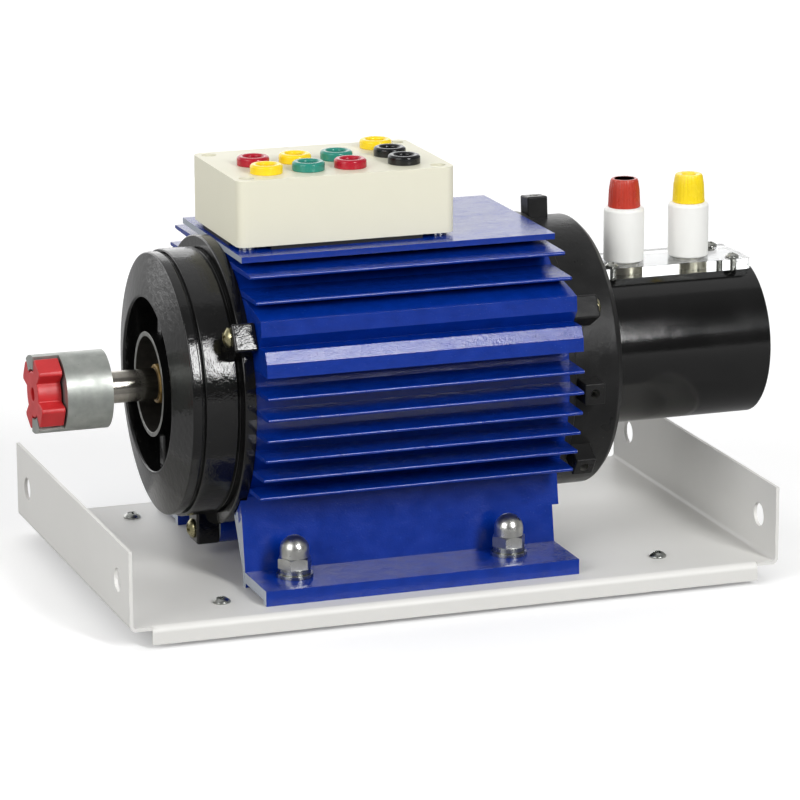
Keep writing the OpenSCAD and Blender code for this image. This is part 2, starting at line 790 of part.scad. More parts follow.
module stator_winding() {
    turn_in = core_bore_d / 2 + slot_lip + 0.6;
    turn_out = turn_in + slot_depth;
    color("#b5713a") along_axis(core_x) {
        translate([0, 0, -end_turn / 2]) linear_extrude(core_length + end_turn)
            for (i = [0 : slot_count - 1]) rotate(i * 360 / slot_count) slot_bar(0.2);
        for (z = [-end_turn, core_length + 2]) translate([0, 0, z])
            ring(2 * turn_out, 2 * turn_in, end_turn - 2);
    }
}

// Blocks around the shield screws, cast onto the ring that starts at x; the upper two hang down
// from their screws until the heads are flush with the blocks
module lugs(x, length, width) {
    inner = shield_r - frame_r + cast_wall;
    drop = (width - shield_head_d) / 2;
    for (i = [0 : 2]) rotate([0, 0, shield_angles[i]])
        translate([shield_r - inner, lug_hangs[i] * drop - width / 2, x])
            cube([inner + lug_cap, width, length]);
}

// Section of the drive-end shield as [radius, place along the axis]
module drive_shield_section() {
    ring_x = frame_start - drive_ring_length;
    band_x = rim_x + rim_band;
    drum_r = drive_drum_d / 2;
    rim_r = drive_rim_d / 2;
    seat_r = bearing_od / 2 + fit;
    floor_x = drive_seat_x - seat_wall;
    lip_x = face_x + boss_set_back;
    spigot_r = frame_bore_d / 2 - fit;
    shell_r = spigot_r - cast_wall;
    polygon([[drive_ring_d / 2, frame_start], [drive_ring_d / 2, ring_x], [drum_r - groove_depth, ring_x],
             [drum_r - groove_depth, ring_x - groove_width], [drum_r, ring_x - groove_width],
             [drum_r, band_x + groove_width], [rim_r - groove_depth, band_x + groove_width],
             [rim_r - groove_depth, band_x], [rim_r, band_x], [rim_r, rim_x + 1], [rim_r - 1, rim_x],
             [drive_opening_d / 2 + 1, face_x], [drive_opening_d / 2, face_x + 0.6],
             [drive_opening_d / 2 - 1.4, recess_x - 2], [drive_opening_d / 2 - 3.4, recess_x],
             [boss_d / 2 + 1.6, recess_x], [boss_d / 2, recess_x - 2], [boss_d / 2, lip_x],
             [boss_bore_d / 2, lip_x], [boss_bore_d / 2, floor_x], [collar_d / 2 + 4, floor_x],
             [collar_d / 2 + 4, drive_seat_x], [seat_r, drive_seat_x],
             [seat_r, drive_seat_x + bearing_width], [seat_r + cast_wall, drive_seat_x + bearing_width],
             [seat_r + cast_wall, recess_x + cast_wall], [shell_r - 8, recess_x + cast_wall],
             [shell_r, recess_x + cast_wall + 3], [shell_r, frame_start + spigot_length],
             [spigot_r, frame_start + spigot_length], [spigot_r, frame_start]]);
}

module drive_end_shield() {
    rib_in = boss_d / 2 - 1;
    rib_out = drive_opening_d / 2 + 1;
    color("#161616") along_axis() difference() {
        union() {
            rotate_extrude() drive_shield_section();
            lugs(frame_start - drive_lug_length, drive_lug_length, lug_width);
            for (a = rib_angles) rotate([0, 0, a])
                translate([rib_in, -recess_rib / 2, face_x + recess_depth * 0.4])
                    cube([rib_out - rib_in, recess_rib, recess_depth * 0.6 + 1]);
        }
        for (a = shield_angles) rotate([0, 0, a])
            translate([shield_r, 0, frame_start - drive_lug_length - 1])
                cylinder(d = shield_screw_d + pass, h = drive_lug_length + 2);
    }
}

// Section of the rear end shield as [radius, place along the axis]
module rear_shield_section() {
    ring_x = frame_end + 3;
    spigot_r = frame_bore_d / 2 - fit;
    shell_r = spigot_r - cast_wall;
    seat_r = bearing_od / 2 + fit;
    stop_x = rear_seat_x + bearing_width + preload_h;
    wall_x = rear_face - cast_wall;
    polygon([[frame_r, frame_end], [frame_r, ring_x], [rear_d / 2, ring_x + 1],
             [rear_d / 2, rear_face - rear_chamfer], [rear_d / 2 - rear_chamfer, rear_face],
             [tube_bore_r - fit, rear_face], [tube_bore_r - fit, rear_face + tube_spigot],
             [shaft_end_d / 2 + 4, rear_face + tube_spigot], [shaft_end_d / 2 + 4, stop_x], [seat_r, stop_x],
             [seat_r, rear_seat_x], [seat_r + cast_wall, rear_seat_x], [seat_r + cast_wall, wall_x],
             [shell_r - 4, wall_x], [shell_r, wall_x - 3], [shell_r, frame_end - spigot_length],
             [spigot_r, frame_end - spigot_length], [spigot_r, frame_end]]);
}

module rear_end_shield() {
    boss_in = rear_d / 2 - cast_wall + 1;
    color("#1a1a1a") along_axis() difference() {
        union() {
            rotate_extrude() rear_shield_section();
            lugs(frame_end, rear_lug_length, rear_lug_width);
            for (a = cowl_angles) rotate([0, 0, a])
                translate([boss_in, -cowl_boss / 2, frame_end + cowl_boss_start])
                    cube([cowl_boss_reach - boss_in, cowl_boss, cowl_boss]);
        }
        for (a = shield_angles) rotate([0, 0, a]) translate([shield_r, 0, frame_end - 1])
            cylinder(d = shield_screw_d + pass, h = rear_lug_length + 2);
        for (a = cowl_angles) rotate([0, 0, a])
            translate([cowl_boss_reach - cowl_hole_depth, 0, frame_end + cowl_boss_start + cowl_boss / 2])
                rotate([0, 90, 0]) cylinder(d = cowl_hole_d, h = cowl_hole_depth + 1);
    }
}

module drive_shield_screws() {
    color("#b9a659") along_axis(frame_start - drive_lug_length) for (a = shield_angles)
        rotate([0, 0, a]) translate([shield_r, 0, 0]) mirror([0, 0, 1])
            cross_screw(shield_screw_d, drive_lug_length + shield_screw_grip, shield_head_d, shield_head_h);
}

module rear_shield_screws() {
    color("#b9a659") along_axis(frame_end + rear_lug_length) for (a = shield_angles)
        rotate([0, 0, a]) translate([shield_r, 0, 0])
            cross_screw(shield_screw_d, rear_lug_length + shield_screw_grip, shield_head_d, shield_head_h);
}

ball_r = ball_d / 2;
ball_circle = (bearing_bore + bearing_od) / 4;

// Puts a child at the start of each bearing
module bearing_places() {
    for (x = [drive_seat_x, rear_seat_x]) along_axis(x) children();
}

// Ring of a bearing with the raceway cut into it
module race(d, bore, groove_r) {
    difference() {
        ring(d, bore, bearing_width);
        translate([0, 0, bearing_width / 2])
            rotate_extrude() translate([ball_circle, 0]) circle(r = groove_r);
    }
}

module bearing_outer_rings() {
    color("silver") bearing_places() race(bearing_od, 2 * ball_circle + ball_d * 0.6, ball_r + turn_gap);
}

module bearing_inner_rings() {
    color("silver") bearing_places()
        race(2 * ball_circle - ball_d * 0.6, bearing_bore + 2 * fit, ball_r + fit);
}

module bearing_balls() {
    color("gainsboro") bearing_places() translate([0, 0, bearing_width / 2])
        for (i = [0 : ball_count - 1]) rotate([0, 0, i * 360 / ball_count])
            translate([ball_circle, 0, 0]) sphere(r = ball_r);
}

module preload_washer() {
    color("#8c8f94") along_axis(rear_seat_x + bearing_width)
        ring(bearing_od - 2 * fit, bearing_od - 8, preload_h);
}

shaft_start = jaw_x + 2;
collar_x = drive_seat_x - collar_length;
shaft_end = tube_end - end_cap_h - 4;
key_x = jaw_x + 3;

module shaft() {
    journal_end = rear_seat_x + bearing_width + preload_h;
    color("#b8bbbe") along_axis() difference() {
        union() {
            translate([0, 0, shaft_start]) cylinder(d = shaft_end_d, h = shaft_end - shaft_start);
            translate([0, 0, drive_seat_x]) cylinder(d = bearing_bore, h = journal_end - drive_seat_x);
            translate([0, 0, drive_seat_x + bearing_width])
                cylinder(d = shaft_core_d, h = rear_seat_x - drive_seat_x - bearing_width);
        }
        translate([shaft_end_d / 2 - key_side * 0.6, -key_side / 2, key_x])
            cube([key_side, key_side, key_length]);
    }
}

module shaft_key() {
    color("#8c8f94") along_axis(key_x) translate([shaft_end_d / 2 - key_side * 0.6, -key_side / 2 + fit, 0])
        cube([key_side, key_side - 2 * fit, key_length]);
}

module shaft_collar() {
    color("#6b5520") along_axis(collar_x) ring(collar_d, shaft_end_d + 2 * fit, collar_length);
}

rotor_r = core_bore_d / 2 - air_gap;

module pole_profile() {
    translate([0, -pole_width / 2]) square([rotor_r - shoe_thickness + 1, pole_width]);
    intersection() {
        difference() {
            circle(r = rotor_r);
            circle(r = rotor_r - shoe_thickness);
        }
        polygon([[0, 0], 2 * rotor_r * [cos(shoe_half_angle), sin(shoe_half_angle)], [2 * rotor_r, 0],
                 2 * rotor_r * [cos(shoe_half_angle), -sin(shoe_half_angle)]]);
    }
}

module rotor_core() {
    color("#5d6064") along_axis(core_x) linear_extrude(core_length) difference() {
        union() {
            circle(d = rotor_hub_d);
            for (a = rib_angles) rotate(a) pole_profile();
        }
        circle(d = shaft_core_d + 2 * fit);
    }
}

// One flat coil around the neck of each pole
module field_coils() {
    coil_in = rotor_hub_d / 2 + turn_gap;
    coil_out = (rotor_r - shoe_thickness) * cos(shoe_half_angle) - turn_gap;
    slot_w = pole_width + 4 * fit;
    slot_l = core_length + 4 * fit;
    color("#a5622f") along_axis(core_x + core_length / 2) for (a = rib_angles) rotate([0, 0, a])
        translate([coil_in, 0, 0]) difference() {
            translate([0, -slot_w / 2 - coil_build, -slot_l / 2 - coil_build])
                cube([coil_out - coil_in, slot_w + 2 * coil_build, slot_l + 2 * coil_build]);
            translate([-1, -slot_w / 2, -slot_l / 2]) cube([coil_out - coil_in + 2, slot_w, slot_l]);
        }
}

// What is cut away between the two jaws
module jaw_gap_profile() {
    half = 90 - jaw_angle / 2;
    reach = hub_d;
    circle(r = jaw_inner_r);
    for (a = [90, 270]) rotate(a)
        polygon([[0, 0], reach * [cos(half), -sin(half)], [reach, 0], reach * [cos(half), sin(half)]]);
}

module coupling_hub() {
    color("#a9ada8") along_axis() difference() {
        translate([0, 0, coupling_end]) cylinder(d = hub_d, h = jaw_length + hub_length);
        translate([0, 0, coupling_end - 1]) rotate([0, 0, jaw_turn])
            linear_extrude(jaw_length + 1) jaw_gap_profile();
        translate([0, 0, jaw_x + 1]) cylinder(d = shaft_end_d + 2 * fit, h = hub_length);
        translate([0, -key_side / 2, jaw_x + 1])
            cube([shaft_end_d / 2 + key_side * 0.4 + 2 * fit, key_side, hub_length]);
        translate([0, 0, jaw_x + hub_length / 2]) rotate([90, 0, 0])
            cylinder(d = set_screw_d + 2 * fit, h = hub_d);
    }
}

module hub_set_screw() {
    inner = shaft_end_d / 2 + fit;
    length = hub_d / 2 - inner - 0.8;
    socket_d = set_screw_d / 2;
    color("#2c2c2e") along_axis(jaw_x + hub_length / 2) rotate([90, 0, 0]) translate([0, 0, inner])
        difference() {
            cylinder(d = set_screw_d, h = length);
            translate([0, 0, length - 2.5]) cylinder(d = socket_d, h = 3, $fn = 6);
        }
}

module lobe_profile() {
    start = spider_core_d / 2 - 1;
    tip = hub_d / 2 - 0.6;
    root = lobe_width / 2;
    end = lobe_end_width / 2;
    edge = 1.2;
    polygon([[0, -root], [start, -root], [tip - edge, -end], [tip, edge - end], [tip, end - edge],
             [tip - edge, end], [start, root], [0, root]]);
}

module coupling_spider() {
    color("#d02030") along_axis(coupling_end) linear_extrude(jaw_length - spider_gap) difference() {
        union() {
            circle(d = spider_core_d);
            for (a = [45 : 90 : 315]) rotate(jaw_turn + a) lobe_profile();
        }
        circle(d = spider_hole_d);
    }
}

sleeve_start = rear_face + tube_spigot + 3;

module slip_ring_sleeve() {
    color("#7a2f22") along_axis(sleeve_start)
        ring(slip_sleeve_d, shaft_end_d + 2 * fit, shaft_end - sleeve_start - 2);
}

module slip_rings() {
    color("#c9a04a") for (x = brush_x) along_axis(x - slip_ring_width / 2)
        ring(slip_ring_d, slip_sleeve_d + 2 * fit, slip_ring_width);
}

module slip_ring_tube() {
    color("#17171a") difference() {
        along_axis(rear_face) ring(tube_d, 2 * tube_bore_r, tube_length);
        above_axis(rear_face - 1, flat_z) translate([0, -tube_d / 2, 0])
            cube([tube_length + 2, tube_d, tube_d]);
        for (x = brush_x) above_axis(x) cylinder(d = guide_d + 2 * fit, h = tube_d);
        above_axis(0, flat_z - plate_screw_grip) plate_screw_places()
            cylinder(d = plate_screw_d + 2 * fit, h = tube_d);
    }
}

module tube_end_cap() {
    color("#101012") along_axis(tube_end - end_cap_h) cylinder(r = tube_bore_r - fit, h = end_cap_h);
}

module terminal_plate() {
    color("#dfe8ea", 0.5) difference() {
        above_axis(plate_x + plate_length / 2, flat_z) linear_extrude(plate_thickness)
            rounded_rect(plate_length, plate_width, plate_corner);
        for (x = brush_x) above_axis(x) cylinder(d = guide_d + 2 * fit, h = 2 * tube_d);
        above_axis(0, flat_z - 1) plate_screw_places()
            cylinder(d = plate_screw_d + pass, h = plate_thickness + 2);
    }
}

module plate_screws() {
    color("silver") above_axis(0, plate_top) plate_screw_places()
        cross_screw(plate_screw_d, plate_thickness + plate_screw_grip, plate_head_d, plate_head_h);
}

module brush_sleeves() {
    edge = 1;
    color("#ecece8") for (x = brush_x) above_axis(x, plate_top) rotate_extrude()
        polygon([[guide_d / 2 + fit, 0], [sleeve_d / 2, 0], [sleeve_d / 2, sleeve_height - edge],
                 [sleeve_d / 2 - edge, sleeve_height], [guide_d / 2 + fit, sleeve_height]]);
}

module brush_guides() {
    guide_z = slip_ring_d / 2 + guide_gap;
    slot = brush_side + 2 * brush_play;
    color("#c9a04a") for (x = brush_x) above_axis(x, guide_z) difference() {
        cylinder(d = guide_d, h = spigot_z - guide_z);
        translate([-slot / 2, -slot / 2, -1]) cube([slot, slot, spigot_z - guide_z + 2]);
    }
}

// Square carbon brush whose lower end is hollowed to the slip ring
module brush(x) {
    color("#2b2b2e") difference() {
        above_axis(x, brush_z - 1) translate([-brush_side / 2, -brush_side / 2, 0])
            cube([brush_side, brush_side, brush_length + 1]);
        along_axis(x - brush_side) cylinder(r = brush_z, h = 2 * brush_side);
    }
}

module red_brush() {
    brush(brush_x[0]);
}

module yellow_brush() {
    brush(brush_x[1]);
}

// Brush spring: one tube along a helix
spring_steps = 8;
spring_sides = 6;
spring_low = brush_top + spring_wire / 2 + 0.05;
spring_high = spigot_z - contact_foot - spring_wire / 2 - 0.05;
spring_radius = (spring_d - spring_wire) / 2;

function spring_point(i) = [
    spring_radius * cos(360 * i / spring_steps),
    spring_radius * sin(360 * i / spring_steps),
    spring_low + (spring_high - spring_low) * i / (spring_turns * spring_steps)];

function spring_rim(i) = [for (k = [0 : spring_sides - 1])
    let (out = [cos(360 * i / spring_steps), sin(360 * i / spring_steps), 0], a = 360 * k / spring_sides)
    spring_point(i) + spring_wire / 2 * (cos(a) * out + sin(a) * [0, 0, 1])];

module brush_spring(x) {
    count = spring_turns * spring_steps;
    n = spring_sides;
    points = [for (i = [0 : count]) each spring_rim(i)];
    sides = [for (i = [0 : count - 1], k = [0 : n - 1])
        let (a = i * n + k, b = i * n + (k + 1) % n)
        each [[a, b, b + n], [a, b + n, a + n]]];
    start = [for (k = [1 : n - 2]) [0, k + 1, k]];
    last = count * n;
    finish = [for (k = [1 : n - 2]) [last, last + k, last + k + 1]];
    color("#9a9da2") above_axis(x) polyhedron(points, concat(sides, start, finish));
}

module red_brush_spring() {
    brush_spring(brush_x[0]);
}

module yellow_brush_spring() {
    brush_spring(brush_x[1]);
}

// Screwed cap of a brush holder, with the mouth for a plug in its top
module brush_cap(x) {
    above_axis(x) difference() {
        union() {
            translate([0, 0, sleeve_top]) cylinder(d1 = cap_d, d2 = cap_top_d, h = cap_height);
            translate([0, 0, spigot_z]) cylinder(d = guide_d, h = cap_spigot + 1);
        }
        translate([0, 0, spigot_z - 1]) cylinder(d = contact_d + 2 * fit, h = cap_top);
        translate([0, 0, cap_top - cap_mouth_depth]) cylinder(d = cap_mouth_d, h = cap_height);
    }
}

module red_cap() {
    color("#c8442f") brush_cap(brush_x[0]);
}

module yellow_cap() {
    color("#ffe93a") brush_cap(brush_x[1]);
}

// Plug contact of a cap; its closed foot carries the brush spring
module cap_contact(x) {
    foot = spigot_z - contact_foot;
    color("#c9a04a") above_axis(x) difference() {
        translate([0, 0, foot]) cylinder(d = contact_d, h = cap_top - cap_mouth_depth - foot);
        translate([0, 0, foot + 2 * contact_foot]) cylinder(d = contact_bore, h = cap_top);
    }
}

module red_cap_contact() {
    cap_contact(brush_x[0]);
}

module yellow_cap_contact() {
    cap_contact(brush_x[1]);
}

module terminal_box() {
    color("#e3e1ce") above_axis(0, top_z) difference() {
        union() {
            translate([box_x + box_length / 2, 0, 0]) difference() {
                linear_extrude(box_height) rounded_rect(box_length, box_width, box_corner);
                translate([0, 0, -1]) linear_extrude(box_height - box_wall + 1)
                    rounded_rect(box_length - 2 * box_wall, box_width - 2 * box_wall,
                                 box_corner - box_wall / 2);
            }
            box_screw_places() cylinder(d = box_pillar_d, h = box_height - box_wall / 2);
        }
        box_screw_places() translate([0, 0, -1]) cylinder(d = box_screw_d + pass, h = box_height + 2);
        box_screw_places() translate([0, 0, box_height - box_well_depth])
            cylinder(d = box_well_d, h = box_well_depth + 1);
        for (p = all_places) translate([socket_x[p[0]], -p[1] * socket_pitch, box_height - 2 * box_wall])
            cylinder(d = barrel_d + 2 * fit, h = 3 * box_wall);
    }
}

module box_screws() {
    head_h = box_well_depth - 0.8;
    color("silver") above_axis(0, box_top - box_well_depth) box_screw_places()
        cross_screw(box_screw_d, box_height - box_well_depth + box_gap + top_plate, box_well_d - 0.6, head_h);
}

module box_spacers() {
    color("#8c8f94") above_axis(0, top_height) box_screw_places()
        ring(box_pillar_d - 1.6, box_screw_d + pass, box_gap);
}

// Straight rubber strips below the four walls, which stop short of the corner spacers
module box_seals() {
    clear = box_screw_inset + box_pillar_d;
    inset = (box_wall - seal_width) / 2;
    color("#1b1b1d") above_axis(box_x + box_length / 2, top_height) {
        for (y = [-1, 1]) translate([0, y * (box_width / 2 - inset - seal_width / 2), box_gap / 2])
            cube([box_length - 2 * clear, seal_width, box_gap], center = true);
        for (x = [-1, 1]) translate([x * (box_length / 2 - inset - seal_width / 2), 0, box_gap / 2])
            cube([seal_width, box_width - 2 * clear, box_gap], center = true);
    }
}

// Plug socket: collar above the box, barrel through its top, hollow for the plug's sleeve
module socket_body() {
    edge = 0.8;
    floor_h = 2;
    rotate_extrude() polygon([[tail_d / 2 + fit, -barrel_depth], [barrel_d / 2, -barrel_depth],
        [barrel_d / 2, 0], [socket_d / 2, 0], [socket_d / 2, socket_rise - edge],
        [socket_d / 2 - edge, socket_rise], [shroud_d / 2 + edge, socket_rise],
        [shroud_d / 2, socket_rise - edge], [shroud_d / 2, floor_h - barrel_depth],
        [tail_d / 2 + fit, floor_h - barrel_depth]]);
}

module yellow_sockets() {
    color("#ffe93a") socket_places(yellow_places) socket_body();
}

module green_sockets() {
    color("#3f9a8c") socket_places(green_places) socket_body();
}

module red_sockets() {
    color("#c81e38") socket_places(red_places) socket_body();
}

module black_sockets() {
    color("#1c1c1e") socket_places(black_places) socket_body();
}

module socket_contacts() {
    floor_h = 2;
    color("#c9a04a") socket_places(all_places) difference() {
        union() {
            translate([0, 0, floor_h - barrel_depth])
                cylinder(d = contact_d, h = barrel_depth - floor_h - contact_drop);
            translate([0, 0, -barrel_depth - tail_length])
                cylinder(d = tail_d, h = tail_length + floor_h + 1);
        }
        translate([0, 0, 2 * floor_h - barrel_depth]) cylinder(d = contact_bore, h = barrel_depth);
    }
}

module socket_nuts() {
    color("#2a2a2c") socket_places(all_places) translate([0, 0, -box_wall - socket_nut_h]) difference() {
        cylinder(d = socket_nut_flats / cos(30), h = socket_nut_h, $fn = 6);
        translate([0, 0, -1]) cylinder(d = barrel_d + 2 * fit, h = socket_nut_h + 2);
    }
}

base_tray();
rubber_feet();
foot_screws();
foot_nuts();
motor_frame();
mounting_bolts();
mounting_washers();
spring_washers();
acorn_nuts();
stator_core();
stator_winding();
drive_end_shield();
rear_end_shield();
drive_shield_screws();
rear_shield_screws();
bearing_outer_rings();
bearing_inner_rings();
bearing_balls();
preload_washer();
shaft();
shaft_key();
shaft_collar();
rotor_core();
field_coils();
coupling_hub();
hub_set_screw();
coupling_spider();
slip_ring_sleeve();
slip_rings();
slip_ring_tube();
tube_end_cap();
terminal_plate();
plate_screws();
brush_sleeves();
brush_guides();
red_brush();
yellow_brush();
red_brush_spring();
yellow_brush_spring();
red_cap();
yellow_cap();
red_cap_contact();
yellow_cap_contact();
terminal_box();
box_screws();
box_spacers();
box_seals();
yellow_sockets();
green_sockets();
red_sockets();
black_sockets();
socket_contacts();
socket_nuts();
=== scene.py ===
"""Looks of a bench synchronous motor on a folded tray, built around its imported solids."""

import json
import math

import bmesh
import bpy
from mathutils import Matrix, Vector

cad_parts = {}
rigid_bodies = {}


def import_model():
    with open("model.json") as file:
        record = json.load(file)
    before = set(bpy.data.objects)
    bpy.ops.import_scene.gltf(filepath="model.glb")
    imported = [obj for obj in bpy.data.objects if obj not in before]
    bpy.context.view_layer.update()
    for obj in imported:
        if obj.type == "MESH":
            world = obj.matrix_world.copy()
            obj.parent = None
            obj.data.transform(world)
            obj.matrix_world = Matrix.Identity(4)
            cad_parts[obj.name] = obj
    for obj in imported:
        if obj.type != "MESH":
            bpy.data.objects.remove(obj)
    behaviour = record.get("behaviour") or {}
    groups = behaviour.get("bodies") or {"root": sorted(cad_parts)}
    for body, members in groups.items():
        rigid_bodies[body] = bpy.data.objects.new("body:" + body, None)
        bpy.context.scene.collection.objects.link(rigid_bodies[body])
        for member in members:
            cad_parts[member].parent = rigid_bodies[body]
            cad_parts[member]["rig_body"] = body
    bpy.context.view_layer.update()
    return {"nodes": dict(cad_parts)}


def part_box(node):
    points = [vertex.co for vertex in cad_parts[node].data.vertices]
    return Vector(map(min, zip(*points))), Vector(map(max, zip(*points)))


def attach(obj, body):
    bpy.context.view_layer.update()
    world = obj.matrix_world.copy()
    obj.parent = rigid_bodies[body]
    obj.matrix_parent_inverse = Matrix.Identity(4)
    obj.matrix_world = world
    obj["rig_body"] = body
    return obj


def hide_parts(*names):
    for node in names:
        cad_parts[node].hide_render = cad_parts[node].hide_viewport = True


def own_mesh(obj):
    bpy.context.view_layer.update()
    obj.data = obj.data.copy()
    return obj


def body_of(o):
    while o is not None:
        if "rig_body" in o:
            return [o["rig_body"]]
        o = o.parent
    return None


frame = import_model()

bl_info = {
    "name": "Bench synchronous motor",
    "version": (1, 0, 0),
    "blender": (4, 5, 0),
    "location": "View3D > Sidebar > Motor",
    "description": "Finishes, castings, screw caps and a plain stage for a bench synchronous motor",
    "category": "Object",
}

MM = 0.001


def middle(node):
    """Middle of a solid's box."""
    low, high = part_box(node)
    return (Vector(low) + Vector(high)) / 2


# The motor axis runs along X at this height
AXIS_Z = middle("slip_rings").z

# Castings, in mm: depth and radius of the spigots inside the finned frame
SPIGOT = 4
SPIGOT_RADIUS = 57.9
# Inside of the castings' wall, outside of the hub around a bearing
WALL_RADIUS = 52.4
HUB_RADIUS = 25.5
# Screw lugs: turn of the upper two from the top, root and tip
LUG_TURN = 61
LUG_ROOT = 57
LUG_TIP = 73.2

# Meshes: gaps that are closed in mm, turn that counts as flat in degrees
WELD_GAP = 0.002
MERGE_GAP = 0.001
FLAT_TURN = 0.4
# Share of a side that a fillet may take
FILLET_SHARE = 0.48

# Range that a noise pattern fills, and the range of its peaks that show as specks
NOISE_RANGE = (0.3, 0.7)
SPECK_RANGE = (0.72, 0.78)
# Heights, in metres, over which the frame's sawn ends turn from bare to painted and back, and how strongly
FEET_BARE = (0.028, 0.048)
PLATE_BARE = (0.149, 0.15)
BARE, PAINTED = 0.5, -0.2
# Width of a scuff in mm, and the noise values between which it shows
SCUFF = 3.125
SCUFF_RANGE = (0.55, 0.66)

# Soft boxes, in metres and watts: where, how wide and high, how strong
LAMPS = (
    ("Window", (0.573, -1.737, 1.1), 0.4, 0.95, 28.5),
    ("Left wall", (-1.9, -1.1, 1.1), 1.5, 1.5, 28.0),
    ("Ceiling", (-0.1, 1.0, 2.2), 3.4, 3.4, 11.0),
    ("Back wall", (-0.2, 1.6, 0.55), 3.6, 1.1, 16.0),
)
# Height that the soft boxes face
LAMP_AIM = 0.08
# Floor: half its width in metres, and the glow that lifts it to white for the eye
FLOOR_REACH = 5
FLOOR_LIFT = 0.22
# Room light: directions from front to rear, and its strength there
ROOM_DEPTH = (-0.7, 0.3)
ROOM_GLOW = (0.1, 0.42)
# Camera: place and aim in metres, roll in degrees, lens and sensor in mm
EYE = Vector((-0.5954, -1.7102, 0.5372))
AIM = Vector((-0.0028, -0.013755, 0.076437))
ROLL = -0.206
LENS = 189.2
SENSOR = 36


def linear(code):
    """The linear colour of an sRGB hex value."""
    parts = [int(code[i : i + 2], 16) / 255 for i in (1, 3, 5)]
    return tuple(p / 12.92 if p <= 0.04045 else ((p + 0.055) / 1.055) ** 2.4 for p in parts)


def tone(name, description, code):
    """A colour that can be changed in the sidebar."""
    return bpy.props.FloatVectorProperty(
        name=name, description=description, subtype="COLOR", size=3, min=0, max=1, default=linear(code)
    )


def length(name, description, mm):
    """A length that can be changed in the sidebar."""
    return bpy.props.FloatProperty(name=name, description=description, unit="LENGTH", min=0, default=mm * MM)


class MotorLook(bpy.types.PropertyGroup):
    """Colours and edge sizes of the motor."""

    blue: tone("Frame paint", "Enamel on the finned frame", "#032B86")
    black: tone("Casting paint", "Thick paint on the end shields and the tube", "#0E0E0E")
    white: tone("Tray coat", "Powder coat on the folded tray", "#E6E5E1")
    cream: tone("Box plastic", "Plastic of the terminal box", "#EBE8D2")
    red: tone("Spider", "Elastic spider of the coupling", "#CC282C")
    cap_red: tone("Red cap", "Plastic of the first brush cap", "#C23A28")
    cap_yellow: tone("Yellow cap", "Plastic of the second brush cap", "#FFDF1C")
    socket_red: tone("Red socket", "Plastic of the red plug sockets", "#B5122B")
    socket_yellow: tone("Yellow socket", "Plastic of the yellow plug sockets", "#FFDC1E")
    socket_green: tone("Green socket", "Plastic of the green plug sockets", "#2B8A7A")
    sheet_edge: length("Sheet edge", "Rounding of the tray's cut edges", 0.3)
    fin_edge: length("Fin edge", "Rounding of the frame's edges", 0.35)
    box_edge: length("Box edge", "Rounding of the terminal box", 1.5)
    cast_edge: length("Casting edge", "Rounding of the cast lugs and ribs", 1.1)
    flutes: bpy.props.IntProperty(
        name="Flutes", description="Grip flutes around a brush cap", default=24, min=8, max=40
    )
    flute_depth: length("Flute depth", "Depth of a grip flute", 0.14)


def put(tree, kind, inputs=None, **settings):
    """Adds a node with its settings; an input takes a value, or the output that feeds it."""
    node = tree.nodes.new(kind)
    for name, value in settings.items():
        setattr(node, name, value)
    for key, value in (inputs or {}).items():
        if isinstance(value, bpy.types.NodeSocket):
            tree.links.new(value, node.inputs[key])
        elif node.inputs[key].type == "RGBA":
            node.inputs[key].default_value = (*value, 1.0)
        else:
            node.inputs[key].default_value = value
    return node


def surface(name, first, second, patch, rough, reliefs, stretch=(1, 1, 1), specks=None, **shader):
    """A two-tone surface; patch, reliefs (width, depth) and specks (width, share, colour) are in mm."""
    material = bpy.data.materials.new(name)
    material.use_nodes = True
    tree = material.node_tree
    tree.nodes.clear()
    place = put(tree, "ShaderNodeTexCoord").outputs["Object"]
    run = put(tree, "ShaderNodeMapping", {"Vector": place, "Scale": stretch}).outputs[0]
    cloud = put(tree, "ShaderNodeTexNoise", {"Vector": run, "Scale": 1 / (patch * MM), "Detail": 5.0})
    blend = put(tree, "ShaderNodeMapRange", {
        "Value": cloud.outputs["Fac"], "From Min": NOISE_RANGE[0], "From Max": NOISE_RANGE[1]}).outputs[0]
    colour = put(tree, "ShaderNodeMix", {0: blend, 6: first, 7: second}, data_type="RGBA").outputs[2]
    dull = put(tree, "ShaderNodeMapRange", {"Value": blend, "To Min": rough[0], "To Max": rough[1]})
    if specks:
        width, share, dust = specks
        dots = put(tree, "ShaderNodeTexNoise", {"Vector": run, "Scale": 1 / (width * MM), "Detail": 3.0})
        mask = put(tree, "ShaderNodeMapRange", {
            "Value": dots.outputs["Fac"], "From Min": SPECK_RANGE[0] - share / 2,
            "From Max": SPECK_RANGE[1] - share / 2}).outputs[0]
        colour = put(tree, "ShaderNodeMix", {0: mask, 6: colour, 7: dust}, data_type="RGBA").outputs[2]
    normal = None
    for width, depth in reliefs:
        bumps = put(tree, "ShaderNodeTexNoise", {"Vector": run, "Scale": 1 / (width * MM), "Detail": 2.0})
        inputs = {"Height": bumps.outputs["Fac"], "Distance": depth * MM}
        if normal:
            inputs["Normal"] = normal
        normal = put(tree, "ShaderNodeBump", inputs).outputs[0]
    body = put(tree, "ShaderNodeBsdfPrincipled", {
        "Base Color": colour, "Roughness": dull.outputs[0], "Normal": normal, **shader})
    put(tree, "ShaderNodeOutputMaterial", {"Surface": body.outputs[0]})
    return material


def shades(colour, factor):
    """A colour and its neighbour, darker or lighter by a factor."""
    return tuple(colour), tuple(c * factor for c in colour)


